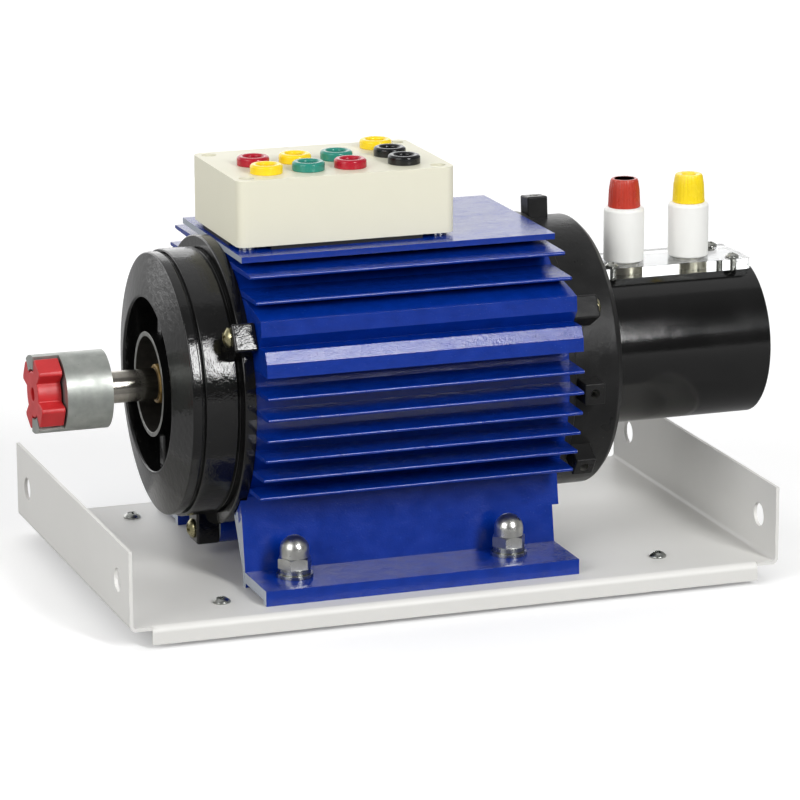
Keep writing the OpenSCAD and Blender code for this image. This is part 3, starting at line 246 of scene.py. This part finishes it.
def frame_paint(look):
    """Blue enamel with a fine peel, and bare metal where the ends were sawn."""
    first, second = shades(look.blue, 1.25)
    material = surface("Blue enamel on aluminium", first, second, 6.0, (0.14, 0.24),
                       ((0.8, 0.09), (5.0, 0.05)), stretch=(0.85, 1, 1),
                       specks=(0.5, 0.03, linear("#5A78C8")), **{"Specular IOR Level": 0.4})
    tree = material.node_tree
    body = next(n for n in tree.nodes if n.type == "BSDF_PRINCIPLED")
    paint = body.inputs["Base Color"].links[0].from_socket
    facing = put(tree, "ShaderNodeNewGeometry").outputs["True Normal"]
    along = put(tree, "ShaderNodeSeparateXYZ", {0: facing}).outputs["X"]
    away = put(tree, "ShaderNodeMath", {0: along}, operation="ABSOLUTE").outputs[0]
    sawn = put(tree, "ShaderNodeMath", {0: away, 1: 0.9}, operation="GREATER_THAN").outputs[0]
    place = put(tree, "ShaderNodeTexCoord").outputs["Object"]
    height = put(tree, "ShaderNodeSeparateXYZ", {0: place}).outputs["Z"]
    # Bare at the feet and at the top plate, painted between
    feet = put(tree, "ShaderNodeMapRange", {
        "Value": height, "From Min": FEET_BARE[0], "From Max": FEET_BARE[1],
        "To Min": BARE, "To Max": PAINTED})
    plate = put(tree, "ShaderNodeMapRange", {
        "Value": height, "From Min": PLATE_BARE[0], "From Max": PLATE_BARE[1],
        "To Min": PAINTED, "To Max": BARE})
    ends = put(tree, "ShaderNodeMath", {0: feet.outputs[0], 1: plate.outputs[0]}, operation="MAXIMUM")
    scuffs = put(tree, "ShaderNodeTexNoise", {"Vector": place, "Scale": 1 / (SCUFF * MM), "Detail": 6.0})
    worn = put(tree, "ShaderNodeMath", {0: scuffs.outputs["Fac"], 1: ends.outputs[0]}).outputs[0]
    bare = put(tree, "ShaderNodeMapRange", {
        "Value": worn, "From Min": SCUFF_RANGE[0], "From Max": SCUFF_RANGE[1]}).outputs[0]
    mask = put(tree, "ShaderNodeMath", {0: sawn, 1: bare}, operation="MULTIPLY").outputs[0]
    mixed = put(tree, "ShaderNodeMix", {0: mask, 6: paint, 7: linear("#A2AAB6")}, data_type="RGBA")
    tree.links.new(mixed.outputs[2], body.inputs["Base Color"])
    return material


def casting_paint(look, name, dust, rough, shine):
    """Thick paint over a rough casting: soft lumps that break up every reflection."""
    first, second = shades([c * (1 + dust) for c in look.black], 1.6)
    return surface(name, first, second, 14.0, rough, ((0.7, 0.05), (3.0, 0.1), (12.0, 0.12)),
                   specks=(0.7, 0.03, linear("#55554F")), **{"Specular IOR Level": shine})


def tube_paint(look):
    """Black gloss paint with a little dust that shows in the light."""
    first, second = shades(look.black, 1.5)
    return surface("Black paint on the tube", first, second, 20.0, (0.09, 0.15), ((0.6, 0.022), (5.0, 0.03)),
                   specks=(0.5, 0.02, linear("#40403E")))


def bare_metal(name, first="#B4B6B8", second="#8E9194", rough=(0.2, 0.34)):
    """Bare metal with fine tool marks and a slightly uneven shine."""
    return surface(name, linear(first), linear(second), 4.0, rough, ((0.35, 0.006),), Metallic=1.0)


def plastic(name, colour, rough=(0.22, 0.32), factor=0.93, **shader):
    """Moulded plastic with a faint skin grain."""
    first, second = shades(colour, factor)
    return surface(name, first, second, 9.0, rough, ((0.5, 0.006), (7.0, 0.02)), **shader)


def dress(nodes, material, edge=0.0, segments=3, sharp=35):
    """Gives solids their finish and, where edge is set, rounds edges that turn by more than sharp degrees."""
    for name in nodes:
        piece = frame["nodes"][name]
        piece.data.materials.clear()
        piece.data.materials.append(material)
        if not edge:
            continue
        weld = piece.modifiers.new("Weld", "WELD")
        weld.merge_threshold = WELD_GAP * MM
        flat = piece.modifiers.new("Flat", "DECIMATE")
        flat.decimate_type = "DISSOLVE"
        flat.angle_limit = math.radians(FLAT_TURN)
        bevel = piece.modifiers.new("Edges", "BEVEL")
        bevel.width = edge
        bevel.segments = segments
        bevel.limit_method = "ANGLE"
        bevel.angle_limit = math.radians(sharp)
        even = piece.modifiers.new("Even", "WEIGHTED_NORMAL")
        even.mode = "FACE_AREA"


def finish(name, bm, materials, body, stands_for, sharp=40.0):
    """Makes the object of a new piece, puts it on its body and hides the solid it stands for."""
    bmesh.ops.remove_doubles(bm, verts=bm.verts, dist=MERGE_GAP * MM)
    bmesh.ops.recalc_face_normals(bm, faces=bm.faces)
    mesh = bpy.data.meshes.new(name)
    bm.to_mesh(mesh)
    bm.free()
    for material in materials:
        mesh.materials.append(material)
    mesh.shade_smooth()
    mesh.set_sharp_from_angle(angle=math.radians(sharp))
    piece = bpy.data.objects.new(name, mesh)
    bpy.context.scene.collection.objects.link(piece)
    even = piece.modifiers.new("Even", "WEIGHTED_NORMAL")
    even.keep_sharp = True
    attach(piece, body)
    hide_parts(*stands_for)
    return piece


def rounded(corners, steps=4):
    """Outline through corners of (radius, place, fillet) in mm, with an arc at each fillet."""
    outline = []
    for i, (r, x, fillet) in enumerate(corners):
        here = Vector((r, x))
        back = Vector(corners[i - 1][:2]) - here
        ahead = Vector(corners[(i + 1) % len(corners)][:2]) - here
        if fillet:
            half = back.angle(ahead) / 2
            reach = min(fillet / math.tan(half), back.length * FILLET_SHARE, ahead.length * FILLET_SHARE)
            start, end = here + back.normalized() * reach, here + ahead.normalized() * reach
            for k in range(steps + 1):
                t = k / steps
                outline.append(start * (1 - t) ** 2 + here * 2 * t * (1 - t) + end * t**2)
        else:
            outline.append(here)
    return outline


def spun(bm, corners, steps=160):
    """Turns a closed outline, given along the motor axis in mm, into a ring around that axis."""
    verts = [bm.verts.new((p.y * MM, 0, AXIS_Z + p.x * MM)) for p in rounded(corners)]
    edges = [bm.edges.new((verts[i - 1], verts[i])) for i in range(len(verts))]
    bmesh.ops.spin(bm, geom=verts + edges, cent=(0, 0, AXIS_Z), axis=(1, 0, 0), angle=math.tau, steps=steps,
                   use_merge=True)


def about_axis(turn):
    """Place on the motor axis, turned about it."""
    return Matrix.Translation((0, 0, AXIS_Z)) @ Matrix.Rotation(math.radians(turn), 4, "X")


def round_edges(bm, edges, radius, segments, clamp=False):
    """Rounds edges; clamp keeps the rounds of a small block from crossing."""
    bmesh.ops.bevel(bm, geom=edges, offset=radius, offset_type="OFFSET", segments=segments, profile=0.5,
                    affect="EDGES", clamp_overlap=clamp, material=-1)


def block(bm, low, high, turn, edge):
    """A rounded block between two corners (along the axis, across, outwards), turned about the axis."""
    size = Vector(high) - Vector(low)
    place = about_axis(turn)
    place @= Matrix.Translation((Vector(low) + Vector(high)) / 2 * MM) @ Matrix.Diagonal((*(size * MM), 1))
    cube = bmesh.ops.create_cube(bm, size=1.0, matrix=place)
    round_edges(bm, list({e for v in cube["verts"] for e in v.link_edges}), edge, 3, clamp=True)


def of_kind(geometry, kind):
    """The members of a bmesh result that are of one kind."""
    return [g for g in geometry if isinstance(g, kind)]


def bored_block(bm, low, high, turn, edge, hole, depth):
    """A rounded block with a blind round hole in its outer end, whose wall has the second material."""
    size = Vector(high) - Vector(low)
    part = bmesh.new()
    bmesh.ops.create_cube(part, size=1.0, matrix=Matrix.Diagonal((*(size * MM), 1)))
    round_edges(part, part.edges[:], edge, 3, clamp=True)
    top = max(part.faces, key=lambda f: f.calc_center_median().z)
    rim = list(top.edges)
    end = Matrix.Translation((0, 0, top.calc_center_median().z))
    bmesh.ops.delete(part, geom=[top], context="FACES_ONLY")
    ring = bmesh.ops.create_circle(part, segments=32, radius=hole * MM / 2, matrix=end)
    mouth = list({e for v in ring["verts"] for e in v.link_edges})
    bmesh.ops.bridge_loops(part, edges=rim + mouth)
    wall = bmesh.ops.extrude_edge_only(part, edges=mouth)["geom"]
    bmesh.ops.translate(part, verts=of_kind(wall, bmesh.types.BMVert), vec=(0, 0, -depth * MM))
    bmesh.ops.contextual_create(part, geom=of_kind(wall, bmesh.types.BMEdge))
    for f in of_kind(wall, bmesh.types.BMFace):
        f.material_index = 1
    place = about_axis(turn)
    place @= Matrix.Translation((Vector(low) + Vector(high)) / 2 * MM)
    bmesh.ops.transform(part, matrix=place, verts=part.verts)
    bmesh.ops.recalc_face_normals(part, faces=part.faces)
    held = bpy.data.meshes.new("held")
    part.to_mesh(held)
    part.free()
    bm.from_mesh(held)
    bpy.data.meshes.remove(held)


def lugs(bm, low, high, half, drop, edge):
    """The three screw lugs of a casting; the upper two hang down from their screws."""
    for turn, hang in ((LUG_TURN, drop), (-LUG_TURN, -drop), (180, 0)):
        block(bm, (low, -hang - half, LUG_ROOT), (high, half - hang, LUG_TIP), turn, edge)


class MOTOR_OT_tray(bpy.types.Operator):
    """Coats the folded tray and finishes its feet and screws."""

    bl_idname = "motor.tray"
    bl_label = "Tray and feet"

    def execute(self, context):
        look = context.scene.motor_look
        first, second = shades(look.white, 0.96)
        # Powder coat: pale and even, with a fine orange peel
        coat = surface("White powder coat", first, second, 60.0, (0.42, 0.5), ((0.6, 0.012), (2.5, 0.02)))
        dress(["base_tray"], coat, look.sheet_edge, 2)
        # Moulded rubber: nearly black and matte
        rubber = surface("Black rubber", linear("#151515"), linear("#1E1E1D"), 6.0, (0.7, 0.85),
                         ((0.4, 0.02),))
        dress(["rubber_feet"], rubber, 0.6 * MM)
        # Bright zinc: a cool grey that mirrors softly
        zinc = bare_metal("Bright zinc", "#B9BBB8", "#8F918D")
        dress(["foot_screws", "foot_nuts", "mounting_bolts", "mounting_washers", "spring_washers",
               "box_spacers"], zinc, 0.15 * MM, 2)
        return {"FINISHED"}


class MOTOR_OT_frame(bpy.types.Operator):
    """Paints the finned frame and plates its nuts."""

    bl_idname = "motor.frame"
    bl_label = "Finned frame"

    def execute(self, context):
        look = context.scene.motor_look
        # A low limit, so that the blunt edges of the rib shoulders are rounded too
        dress(["motor_frame"], frame_paint(look), look.fin_edge, 2, sharp=18)
        # Satin nickel: the brightest metal here, with one soft light down the dome
        dress(["acorn_nuts"], bare_metal("Satin nickel", "#D4D4D0", "#BDBDB8", (0.26, 0.36)))
        return {"FINISHED"}


class MOTOR_OT_drive_shield(bpy.types.Operator):
    """Builds the drive-end casting with its grooves, lugs, recess ribs and machined lip."""

    bl_idname = "motor.drive_shield"
    bl_label = "Drive-end shield"

    def execute(self, context):
        look = context.scene.motor_look
        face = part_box("drive_end_shield")[0][0] / MM
        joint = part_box("drive_end_shield")[1][0] / MM - SPIGOT
        rim, lip, recess = face + 4.5, face + 1.1, face + 16
        # Radii outside: flange, drum and nose, with a groove's depth
        flange, drum, nose, groove = 63.5, 58.5, 57.5, 1.4
        # Radii inside: mouth and floor of the recess, boss and its bore, shaft hole, seat of the bearing
        mouth, floor, boss, bore, hole, seat = 38.0, 36, 23, 21, 12.6, 20.05
        bm = bmesh.new()
        spun(bm, [
            (flange, joint, 0.2), (flange, joint - 5, 0.9), (drum - groove, joint - 5, 0.4),
            (drum - groove, joint - 6.3, 0.3), (drum, joint - 6.3, 0.7), (drum, rim + 5.5, 0.7),
            (nose - groove, rim + 5.5, 0.3), (nose - groove, rim + 4.2, 0.3), (nose, rim + 4.2, 0.6),
            (nose, rim, 0.8), (mouth, face, 1.2), (floor, recess, 3.5), (boss, recess, 2.2),
            (boss, lip, 0.15), (bore, lip, 0.25), (bore, recess + 4, 0.8), (hole, recess + 4, 0.4),
            (hole, recess + 6, 0.2), (seat, recess + 6, 0), (seat, recess + 18, 0.2),
            (HUB_RADIUS, recess + 18, 0.6), (HUB_RADIUS, recess + 5.5, 1), (44.4, recess + 5.5, 1),
            (WALL_RADIUS, recess + 8.5, 1), (WALL_RADIUS, joint + SPIGOT, 0.3),
            (SPIGOT_RADIUS, joint + SPIGOT, 0.3), (SPIGOT_RADIUS, joint, 0)])
        lugs(bm, joint - 10.5, joint, 6.3, 2, look.cast_edge)
        # Recess ribs: front, half width, root in the boss and tip in the wall
        front, half, root, tip = face + 6.4, 3.5, 22, 37.4
        for turn in (0, 90, 180, 270):
            block(bm, (front, -half, root), (recess + 1, half, tip), turn, look.cast_edge)
        for f in bm.faces:
            spot = f.calc_center_median()
            out = math.hypot(spot.y, spot.z - AXIS_Z) / MM
            if bore - 0.4 < out < boss + 0.2 and abs(spot.x / MM - lip) < 0.4:
                f.material_index = 1
            elif hole - 0.6 < out < bore + 0.1 and lip < spot.x / MM < recess + 5:
                f.material_index = 2
        # Gloss paint on iron: black, with sharp broken lights
        paint = casting_paint(look, "Black gloss paint on cast iron", 0.0, (0.08, 0.15), 0.5)
        # Machined lip: bare iron with turning marks
        turned = bare_metal("Turned iron", "#A9AAA6", "#7F807C", (0.28, 0.4))
        # Oily iron in the bore: dark, with a soft shine
        oily = surface("Oily iron", linear("#4A4844"), linear("#2C2A27"), 5.0, (0.3, 0.5), ((0.5, 0.02),),
                       Metallic=0.4)
        finish("drive_casting", bm, [paint, turned, oily], "stator", ["drive_end_shield"])
        return {"FINISHED"}


class MOTOR_OT_rear_shield(bpy.types.Operator):
    """Builds the rear casting with its lugs and square tapped bosses, and plates both shields' screws."""

    bl_idname = "motor.rear_shield"
    bl_label = "Rear end shield"

    def execute(self, context):
        look = context.scene.motor_look
        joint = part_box("rear_end_shield")[0][0] / MM + SPIGOT
        back = joint + 27
        # Radii: flange, drum and its chamfer, spigot in the slip-ring tube, shaft hole, seat of the bearing
        flange, drum, chamfer, tube, hole, seat = 63, 60.5, 57.5, 29.4, 11, 20
        bm = bmesh.new()
        spun(bm, [
            (flange, joint, 0.2), (flange, joint + 3.2, 0.8), (drum, joint + 3.6, 0.6), (drum, back - 3, 1.5),
            (chamfer, back, 1.2), (tube, back, 0), (tube, back + 6, 0.3), (hole, back + 6, 0.3),
            (hole, back - 5, 0), (seat, back - 5, 0), (seat, back - 18, 0), (HUB_RADIUS, back - 18, 0.6),
            (HUB_RADIUS, back - 5.5, 1), (48.4, back - 5.5, 1), (WALL_RADIUS, back - 8.5, 1),
            (WALL_RADIUS, joint - SPIGOT, 0.3), (SPIGOT_RADIUS, joint - SPIGOT, 0.3),
            (SPIGOT_RADIUS, joint, 0)])
        lugs(bm, joint, joint + 12.8, 5.3, 1, look.cast_edge)
        # Square bosses: half width, root and tip, then the tapped bore's width and depth
        half, root, tip, bore, depth = 4.75, 56, 70, 4.2, 7
        for turn in (-4.5, 93, 124.5, -93, -124.5):
            bored_block(bm, (joint + 4.5, -half, root), (joint + 14, half, tip), turn, 0.7 * MM, bore, depth)
        # Dusty paint on iron: a greyer black whose lights are dim and wide
        paint = casting_paint(look, "Dusty black paint on cast iron", 2.2, (0.26, 0.4), 0.14)
        # Tapped bores: bright where the drill left bare iron
        bored = bare_metal("Drilled iron", "#D6D6D0", "#B0B0AA", (0.3, 0.45))
        finish("rear_casting", bm, [paint, bored], "stator", ["rear_end_shield"])
        # Yellow zinc: a pale olive
        gold = bare_metal("Yellow zinc", "#C4BD98", "#8F8A68", (0.22, 0.36))
        dress(["drive_shield_screws", "rear_shield_screws"], gold, 0.2 * MM, 2)
        return {"FINISHED"}


class MOTOR_OT_inside(bpy.types.Operator):
    """Finishes the cores, windings and bearings inside the motor."""

    bl_idname = "motor.inside"
    bl_label = "Cores, windings and bearings"

    def execute(self, context):
        # Stacked sheet: fine lines across the axis
        sheets = surface("Stacked core sheet", linear("#6E7174"), linear("#4C4F52"), 1.0, (0.4, 0.55),
                         ((0.5, 0.03),), stretch=(1, 0.02, 0.02), Metallic=0.8)
        dress(["stator_core", "rotor_core"], sheets)
        # Varnished wire: brown copper with a wet look
        wire = surface("Varnished copper wire", linear("#A8602C"), linear("#6E3A18"), 2.0, (0.25, 0.4),
                       ((0.8, 0.1),), Metallic=0.6)
        dress(["stator_winding", "field_coils"], wire)
        # Ground steel: pale, nearly a mirror
        ground = bare_metal("Ground bearing steel", "#C9CACA", "#B2B3B4", (0.1, 0.18))
        dress(["bearing_outer_rings", "bearing_inner_rings", "bearing_balls", "preload_washer"], ground)
        return {"FINISHED"}


class MOTOR_OT_drive_line(bpy.types.Operator):
    """Finishes the shaft, its collar and the jaw coupling."""

    bl_idname = "motor.drive_line"
    bl_label = "Shaft and coupling"

    def execute(self, context):
        look = context.scene.motor_look
        # Turned shaft: fine tool marks around it draw each light out into a line along the axis
        turned = surface("Turned shaft steel", linear("#BDBAB2"), linear("#A29D93"), 9.0, (0.16, 0.24),
                         ((0.3, 0.02),), stretch=(1, 0.02, 0.02), Metallic=1.0)
        dress(["shaft", "shaft_key"], turned, 0.3 * MM, 2)
        # Oiled bronze: brown and greasy
        bronze = surface("Oiled bronze", linear("#97793A"), linear("#5A441E"), 3.0, (0.35, 0.5),
                         ((0.6, 0.03),), Metallic=0.35)
        dress(["shaft_collar"], bronze, 0.6 * MM)
        # Cast aluminium: dull pale grey with pits and dings
        cast = surface("Cast aluminium", linear("#B2B5B0"), linear("#9A9E99"), 7.0, (0.38, 0.5),
                       ((0.5, 0.02), (2.6, 0.06), (8.0, 0.08)), specks=(0.8, 0.04, linear("#6B6E6A")),
                       Metallic=0.7)
        dress(["coupling_hub"], cast, 0.7 * MM)
        # Blackened steel: dark grey with a dull shine
        dress(["hub_set_screw"], bare_metal("Black steel", "#3C3D3E", "#2A2B2C", (0.35, 0.5)))
        first, second = shades(look.red, 0.8)
        # Polyurethane: satin red with a soft skin
        rubber = surface("Red polyurethane", first, second, 8.0, (0.34, 0.46), ((0.6, 0.02), (5.0, 0.08)))
        dress(["coupling_spider"], rubber, 1.2 * MM)
        return {"FINISHED"}


class MOTOR_OT_slip_rings(bpy.types.Operator):
    """Finishes the slip-ring housing and what runs inside it."""

    bl_idname = "motor.slip_rings"
    bl_label = "Slip rings and brushes"

    def execute(self, context):
        look = context.scene.motor_look
        dress(["slip_ring_tube"], tube_paint(look), 0.5 * MM)
        # Moulded black plastic: satin, with a faint grain
        dress(["tube_end_cap"], plastic("Black plastic", linear("#141414"), (0.4, 0.5)), 0.4 * MM)
        # Resin-bonded laminate: dull brown
        laminate = surface("Brown laminate", linear("#5A351B"), linear("#432512"), 3.0, (0.45, 0.6),
                           ((0.4, 0.02),))
        dress(["slip_ring_sleeve"], laminate)
        # Turned brass: warm yellow with a soft mirror
        brass = bare_metal("Brass", "#D2B060", "#A98A44", (0.2, 0.34))
        dress(["slip_rings", "red_cap_contact", "yellow_cap_contact", "socket_contacts"], brass)
        # Nickel over brass: pale with a warm cast
        dress(["brush_guides"], bare_metal("Nickel-plated brass", "#C9C6B4", "#A09C86", (0.3, 0.42)))
        # Pressed carbon: dark grey and matte
        carbon = surface("Carbon", linear("#2A2A2C"), linear("#1C1C1E"), 2.0, (0.5, 0.7), ((0.3, 0.02),))
        dress(["red_brush", "yellow_brush"], carbon)
        # Drawn spring wire: a plain grey mirror
        steel = bare_metal("Spring steel")
        for colour in ("red", "yellow"):
            self.coil(colour, steel)
        return {"FINISHED"}

    def coil(self, colour, material):
        """A brush spring: the solid's coil, copied onto its body in place of the solid, with the spring
        finish.
        """
        node = "%s_brush_spring" % colour
        solid = frame["nodes"][node]
        bm = bmesh.new()
        bm.from_mesh(solid.data)
        bmesh.ops.transform(bm, matrix=solid.matrix_world, verts=bm.verts)
        coil = finish("%s_brush_coil" % colour, bm, [material], body_of(solid)[0], [node])
        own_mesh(coil)


class MOTOR_OT_brush_posts(bpy.types.Operator):
    """Builds the clear plate and the fluted brush caps, and finishes the small screws and white sleeves."""

    bl_idname = "motor.brush_posts"
    bl_label = "Brush posts and clear plate"

    def execute(self, context):
        look = context.scene.motor_look
        # Acrylic: clear, with bright cut edges
        clear = surface("Clear acrylic", linear("#FFFFFF"), linear("#F6FAFA"), 30.0, (0.02, 0.05),
                        ((6.0, 0.01),), IOR=1.49, **{"Transmission Weight": 1.0})
        self.plate(clear)
        # Bright zinc, freshly plated: a little paler than on the large screws
        zinc = bare_metal("Bright zinc of the small screws", "#C2C3BF", "#96988F")
        dress(["plate_screws", "box_screws"], zinc, 0.12 * MM, 2)
        # Nylon: milky white with a little real translucency, plus a faint painted glow (emission) that lifts
        # its shaded sides to white
        nylon = plastic("White nylon with painted glow", linear("#ECECE8"), (0.36, 0.46), 0.98, **{
            "Subsurface Weight": 0.15, "Subsurface Radius": (0.004, 0.004, 0.004), "Subsurface Scale": 0.5,
            # Emission here is a painted glow that stands in for light reaching the sleeves' shaded sides
            "Emission Color": linear("#FFFFFC"), "Emission Strength": 0.11})
        dress(["brush_sleeves"], nylon, 0.8 * MM)
        # Moulded caps: strong colours with soft lights on the flutes
        for body, colour in (("red_cap", look.cap_red), ("yellow_cap", look.cap_yellow)):
            self.cap(look, body, plastic("%s plastic" % body.split("_")[0].capitalize(), colour))
        return {"FINISHED"}

    def plate(self, material):
        """The clear plate, with a film of air between it and the flat it lies on."""
        # Film of air, rounding of the corners and of the rims, and the turn in radians that marks a rim
        film, corner, rim_edge, rim_turn = 0.05 * MM, 3 * MM, 0.3 * MM, 1.2
        low, high = (Vector(p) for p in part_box("terminal_plate"))
        low.z += film
        bm = bmesh.new()
        place = Matrix.Translation((low + high) / 2) @ Matrix.Diagonal((*(high - low), 1))
        bmesh.ops.create_cube(bm, size=1.0, matrix=place)
        round_edges(bm, [e for e in bm.edges if abs(e.verts[0].co.z - e.verts[1].co.z) > MM], corner, 8)
        round_edges(bm, [e for e in bm.edges if e.calc_face_angle(0) > rim_turn], rim_edge, 2)
        finish("clear_plate", bm, [material], "stator", ["terminal_plate"], 30)

    def cap(self, look, body, material):
        """One cap: a fluted cone with a scalloped rim and an open mouth."""
        low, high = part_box(body)
        centre = middle(body)
        foot, top = low[2] / MM, high[2] / MM
        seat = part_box("brush_sleeves")[1][2] / MM
        per_flute = 8
        around = look.flutes * per_flute
        # Rings from the spigot up over the rim and down the mouth: radius, height and share of the flute
        rings = [
            (2.8, foot, 0), (6.45, foot, 0), (6.45, seat, 0), (7.0, seat, 0), (7.28, seat + 0.3, 0.2),
            (7.2, seat + 1.2, 1), (6.9, top - 5, 1), (6.3, top - 1.2, 1), (5.95, top - 0.3, 1.3),
            (5.5, top - 0.02, 1.6), (4.6, top - 0.02, 0.6), (3.3, top - 0.3, 0), (3.0, top - 0.8, 0),
            (2.9, top - 2.4, 0), (2.8, top - 2.5, 0)]
        bm = bmesh.new()
        loops = []
        for radius, height, share in rings:
            place = Matrix.Translation((centre.x, centre.y, height * MM))
            ring = bmesh.ops.create_circle(bm, segments=around, radius=radius * MM, matrix=place)["verts"]
            for i, v in enumerate(ring):
                groove = max(0.0, math.cos(math.tau * i / per_flute)) ** 1.5
                cut = share * look.flute_depth * groove / (radius * MM)
                v.co.xy = centre.xy + (v.co.xy - centre.xy) * (1 - cut)
            loops.append(list({e for v in ring for e in v.link_edges}))
        for a, b in zip(loops, loops[1:] + loops[:1]):
            bmesh.ops.bridge_loops(bm, edges=a + b)
        finish("%s_moulding" % body, bm, [material], body, [body], 30)


class MOTOR_OT_terminal_box(bpy.types.Operator):
    """Finishes the terminal box and its plug sockets."""

    bl_idname = "motor.terminal_box"
    bl_label = "Terminal box and sockets"

    def execute(self, context):
        look = context.scene.motor_look
        first, second = shades(look.cream, 0.97)
        # Cream plastic: satin, with a fine spark-eroded skin
        cream = surface("Cream plastic", first, second, 40.0, (0.4, 0.48), ((0.45, 0.012), (6.0, 0.015)))
        dress(["terminal_box"], cream, look.box_edge)
        # Cut foam: black, open and without shine
        foam = surface("Black foam", linear("#161616"), linear("#222221"), 2.0, (0.8, 0.9), ((0.6, 0.1),))
        dress(["box_seals"], foam)
        # Moulded sockets: clean colours with a small bright light on each rim
        for node, colour in (("yellow_sockets", look.socket_yellow), ("green_sockets", look.socket_green),
                             ("red_sockets", look.socket_red), ("black_sockets", linear("#121314"))):
            name = "%s socket plastic" % node.split("_")[0].capitalize()
            dress([node], plastic(name, colour, (0.16, 0.24)), 0.35 * MM)
        # Moulded nuts inside the box: satin black
        dress(["socket_nuts"], plastic("Black nut plastic", linear("#161616"), (0.4, 0.5)))
        return {"FINISHED"}


class MOTOR_OT_stage(bpy.types.Operator):
    """Sets the floor, the room light, the soft boxes and the camera."""

    bl_idname = "motor.stage"
    bl_label = "Plain stage"

    def execute(self, context):
        scene = context.scene
        self.floor(scene)
        self.room(scene)
        self.lamps(scene)
        self.camera(scene)
        scene.view_settings.view_transform = "Standard"
        return {"FINISHED"}

    def floor(self, scene):
        """A plain floor that is white to the eye and darker in reflections."""
        bm = bmesh.new()
        bmesh.ops.create_grid(bm, x_segments=1, y_segments=1, size=FLOOR_REACH)
        mesh = bpy.data.meshes.new("floor")
        bm.to_mesh(mesh)
        bm.free()
        floor = bpy.data.objects.new("floor", mesh)
        scene.collection.objects.link(floor)
        # Paper: matte white that keeps the shadow; reflections see a grey bench
        paper = surface("White paper", linear("#F7F7F7"), linear("#F6F6F6"), 300.0, (0.9, 0.95),
                        ((5.0, 0.005),))
        bench = linear("#A2A2A2")
        tree = paper.node_tree
        body = next(n for n in tree.nodes if n.type == "BSDF_PRINCIPLED")
        white = body.inputs["Base Color"].links[0].from_socket
        path = put(tree, "ShaderNodeLightPath").outputs
        seen = put(tree, "ShaderNodeMath", {0: path["Is Camera Ray"], 1: path["Is Transmission Ray"]},
                   operation="MAXIMUM").outputs[0]
        mixed = put(tree, "ShaderNodeMix", {0: seen, 6: bench, 7: white}, data_type="RGBA")
        tree.links.new(mixed.outputs[2], body.inputs["Base Color"])
        lift = put(tree, "ShaderNodeMath", {0: seen, 1: FLOOR_LIFT}, operation="MULTIPLY")
        tree.links.new(lift.outputs[0], body.inputs["Emission Strength"])
        mesh.materials.append(paper)

    def room(self, scene):
        """Room light: dim in front of the bench, brighter behind it, plain white to the eye."""
        world = bpy.data.worlds.new("Room")
        world.use_nodes = True
        tree = world.node_tree
        tree.nodes.clear()
        way = put(tree, "ShaderNodeTexCoord").outputs["Object"]
        depth = put(tree, "ShaderNodeSeparateXYZ", {0: way}).outputs["Y"]
        glow = put(tree, "ShaderNodeMapRange", {
            "Value": depth, "From Min": ROOM_DEPTH[0], "From Max": ROOM_DEPTH[1],
            "To Min": ROOM_GLOW[0], "To Max": ROOM_GLOW[1]}).outputs[0]
        seen = put(tree, "ShaderNodeLightPath").outputs["Is Camera Ray"]
        light = put(tree, "ShaderNodeMath", {0: glow, 1: seen}, operation="MAXIMUM").outputs[0]
        sky = put(tree, "ShaderNodeBackground", {"Color": linear("#FFFFFF"), "Strength": light})
        put(tree, "ShaderNodeOutputWorld", {"Surface": sky.outputs[0]})
        scene.world = world

    def lamps(self, scene):
        """The soft boxes, which the camera doesn't see."""
        for name, place, wide, high, power in LAMPS:
            data = bpy.data.lights.new(name, "AREA")
            data.shape = "RECTANGLE"
            data.energy = power
            data.size, data.size_y = wide, high
            lamp = bpy.data.objects.new(name, data)
            lamp.location = place
            towards = Vector((0, 0, LAMP_AIM)) - Vector(place)
            lamp.rotation_euler = towards.to_track_quat("-Z", "Y").to_euler()
            lamp.visible_camera = False
            scene.collection.objects.link(lamp)

    def camera(self, scene):
        """A long lens in front of the motor, above it and towards the coupling's end."""
        lens = bpy.data.cameras.new("Camera")
        lens.sensor_width = SENSOR
        lens.lens = LENS
        camera = bpy.data.objects.new("Camera", lens)
        turn = (AIM - EYE).to_track_quat("-Z", "Y").to_matrix().to_4x4()
        camera.matrix_world = Matrix.Translation(EYE) @ turn @ Matrix.Rotation(math.radians(ROLL), 4, "Z")
        scene.collection.objects.link(camera)
        scene.camera = camera


STEPS = (
    MOTOR_OT_tray,
    MOTOR_OT_frame,
    MOTOR_OT_drive_shield,
    MOTOR_OT_rear_shield,
    MOTOR_OT_inside,
    MOTOR_OT_drive_line,
    MOTOR_OT_slip_rings,
    MOTOR_OT_brush_posts,
    MOTOR_OT_terminal_box,
    MOTOR_OT_stage,
)


class MOTOR_PT_panel(bpy.types.Panel):
    """Sidebar list of the motor's building steps."""

    bl_idname = "MOTOR_PT_panel"
    bl_label = "Bench motor"
    bl_space_type = "VIEW_3D"
    bl_region_type = "UI"
    bl_category = "Motor"

    def draw(self, context):
        for step in STEPS:
            self.layout.operator(step.bl_idname)
        for name in MotorLook.__annotations__:
            self.layout.prop(context.scene.motor_look, name)


CLASSES = (MotorLook, *STEPS, MOTOR_PT_panel)


def register():
    for cls in CLASSES:
        bpy.utils.register_class(cls)
    bpy.types.Scene.motor_look = bpy.props.PointerProperty(type=MotorLook)


def unregister():
    del bpy.types.Scene.motor_look
    for cls in reversed(CLASSES):
        bpy.utils.unregister_class(cls)


def main():
    register()
    for step in STEPS:
        group, name = step.bl_idname.split(".")
        if getattr(getattr(bpy.ops, group), name)() != {"FINISHED"}:
            raise RuntimeError("%s did not finish" % step.bl_label)


if __name__ == "__main__":
    main()
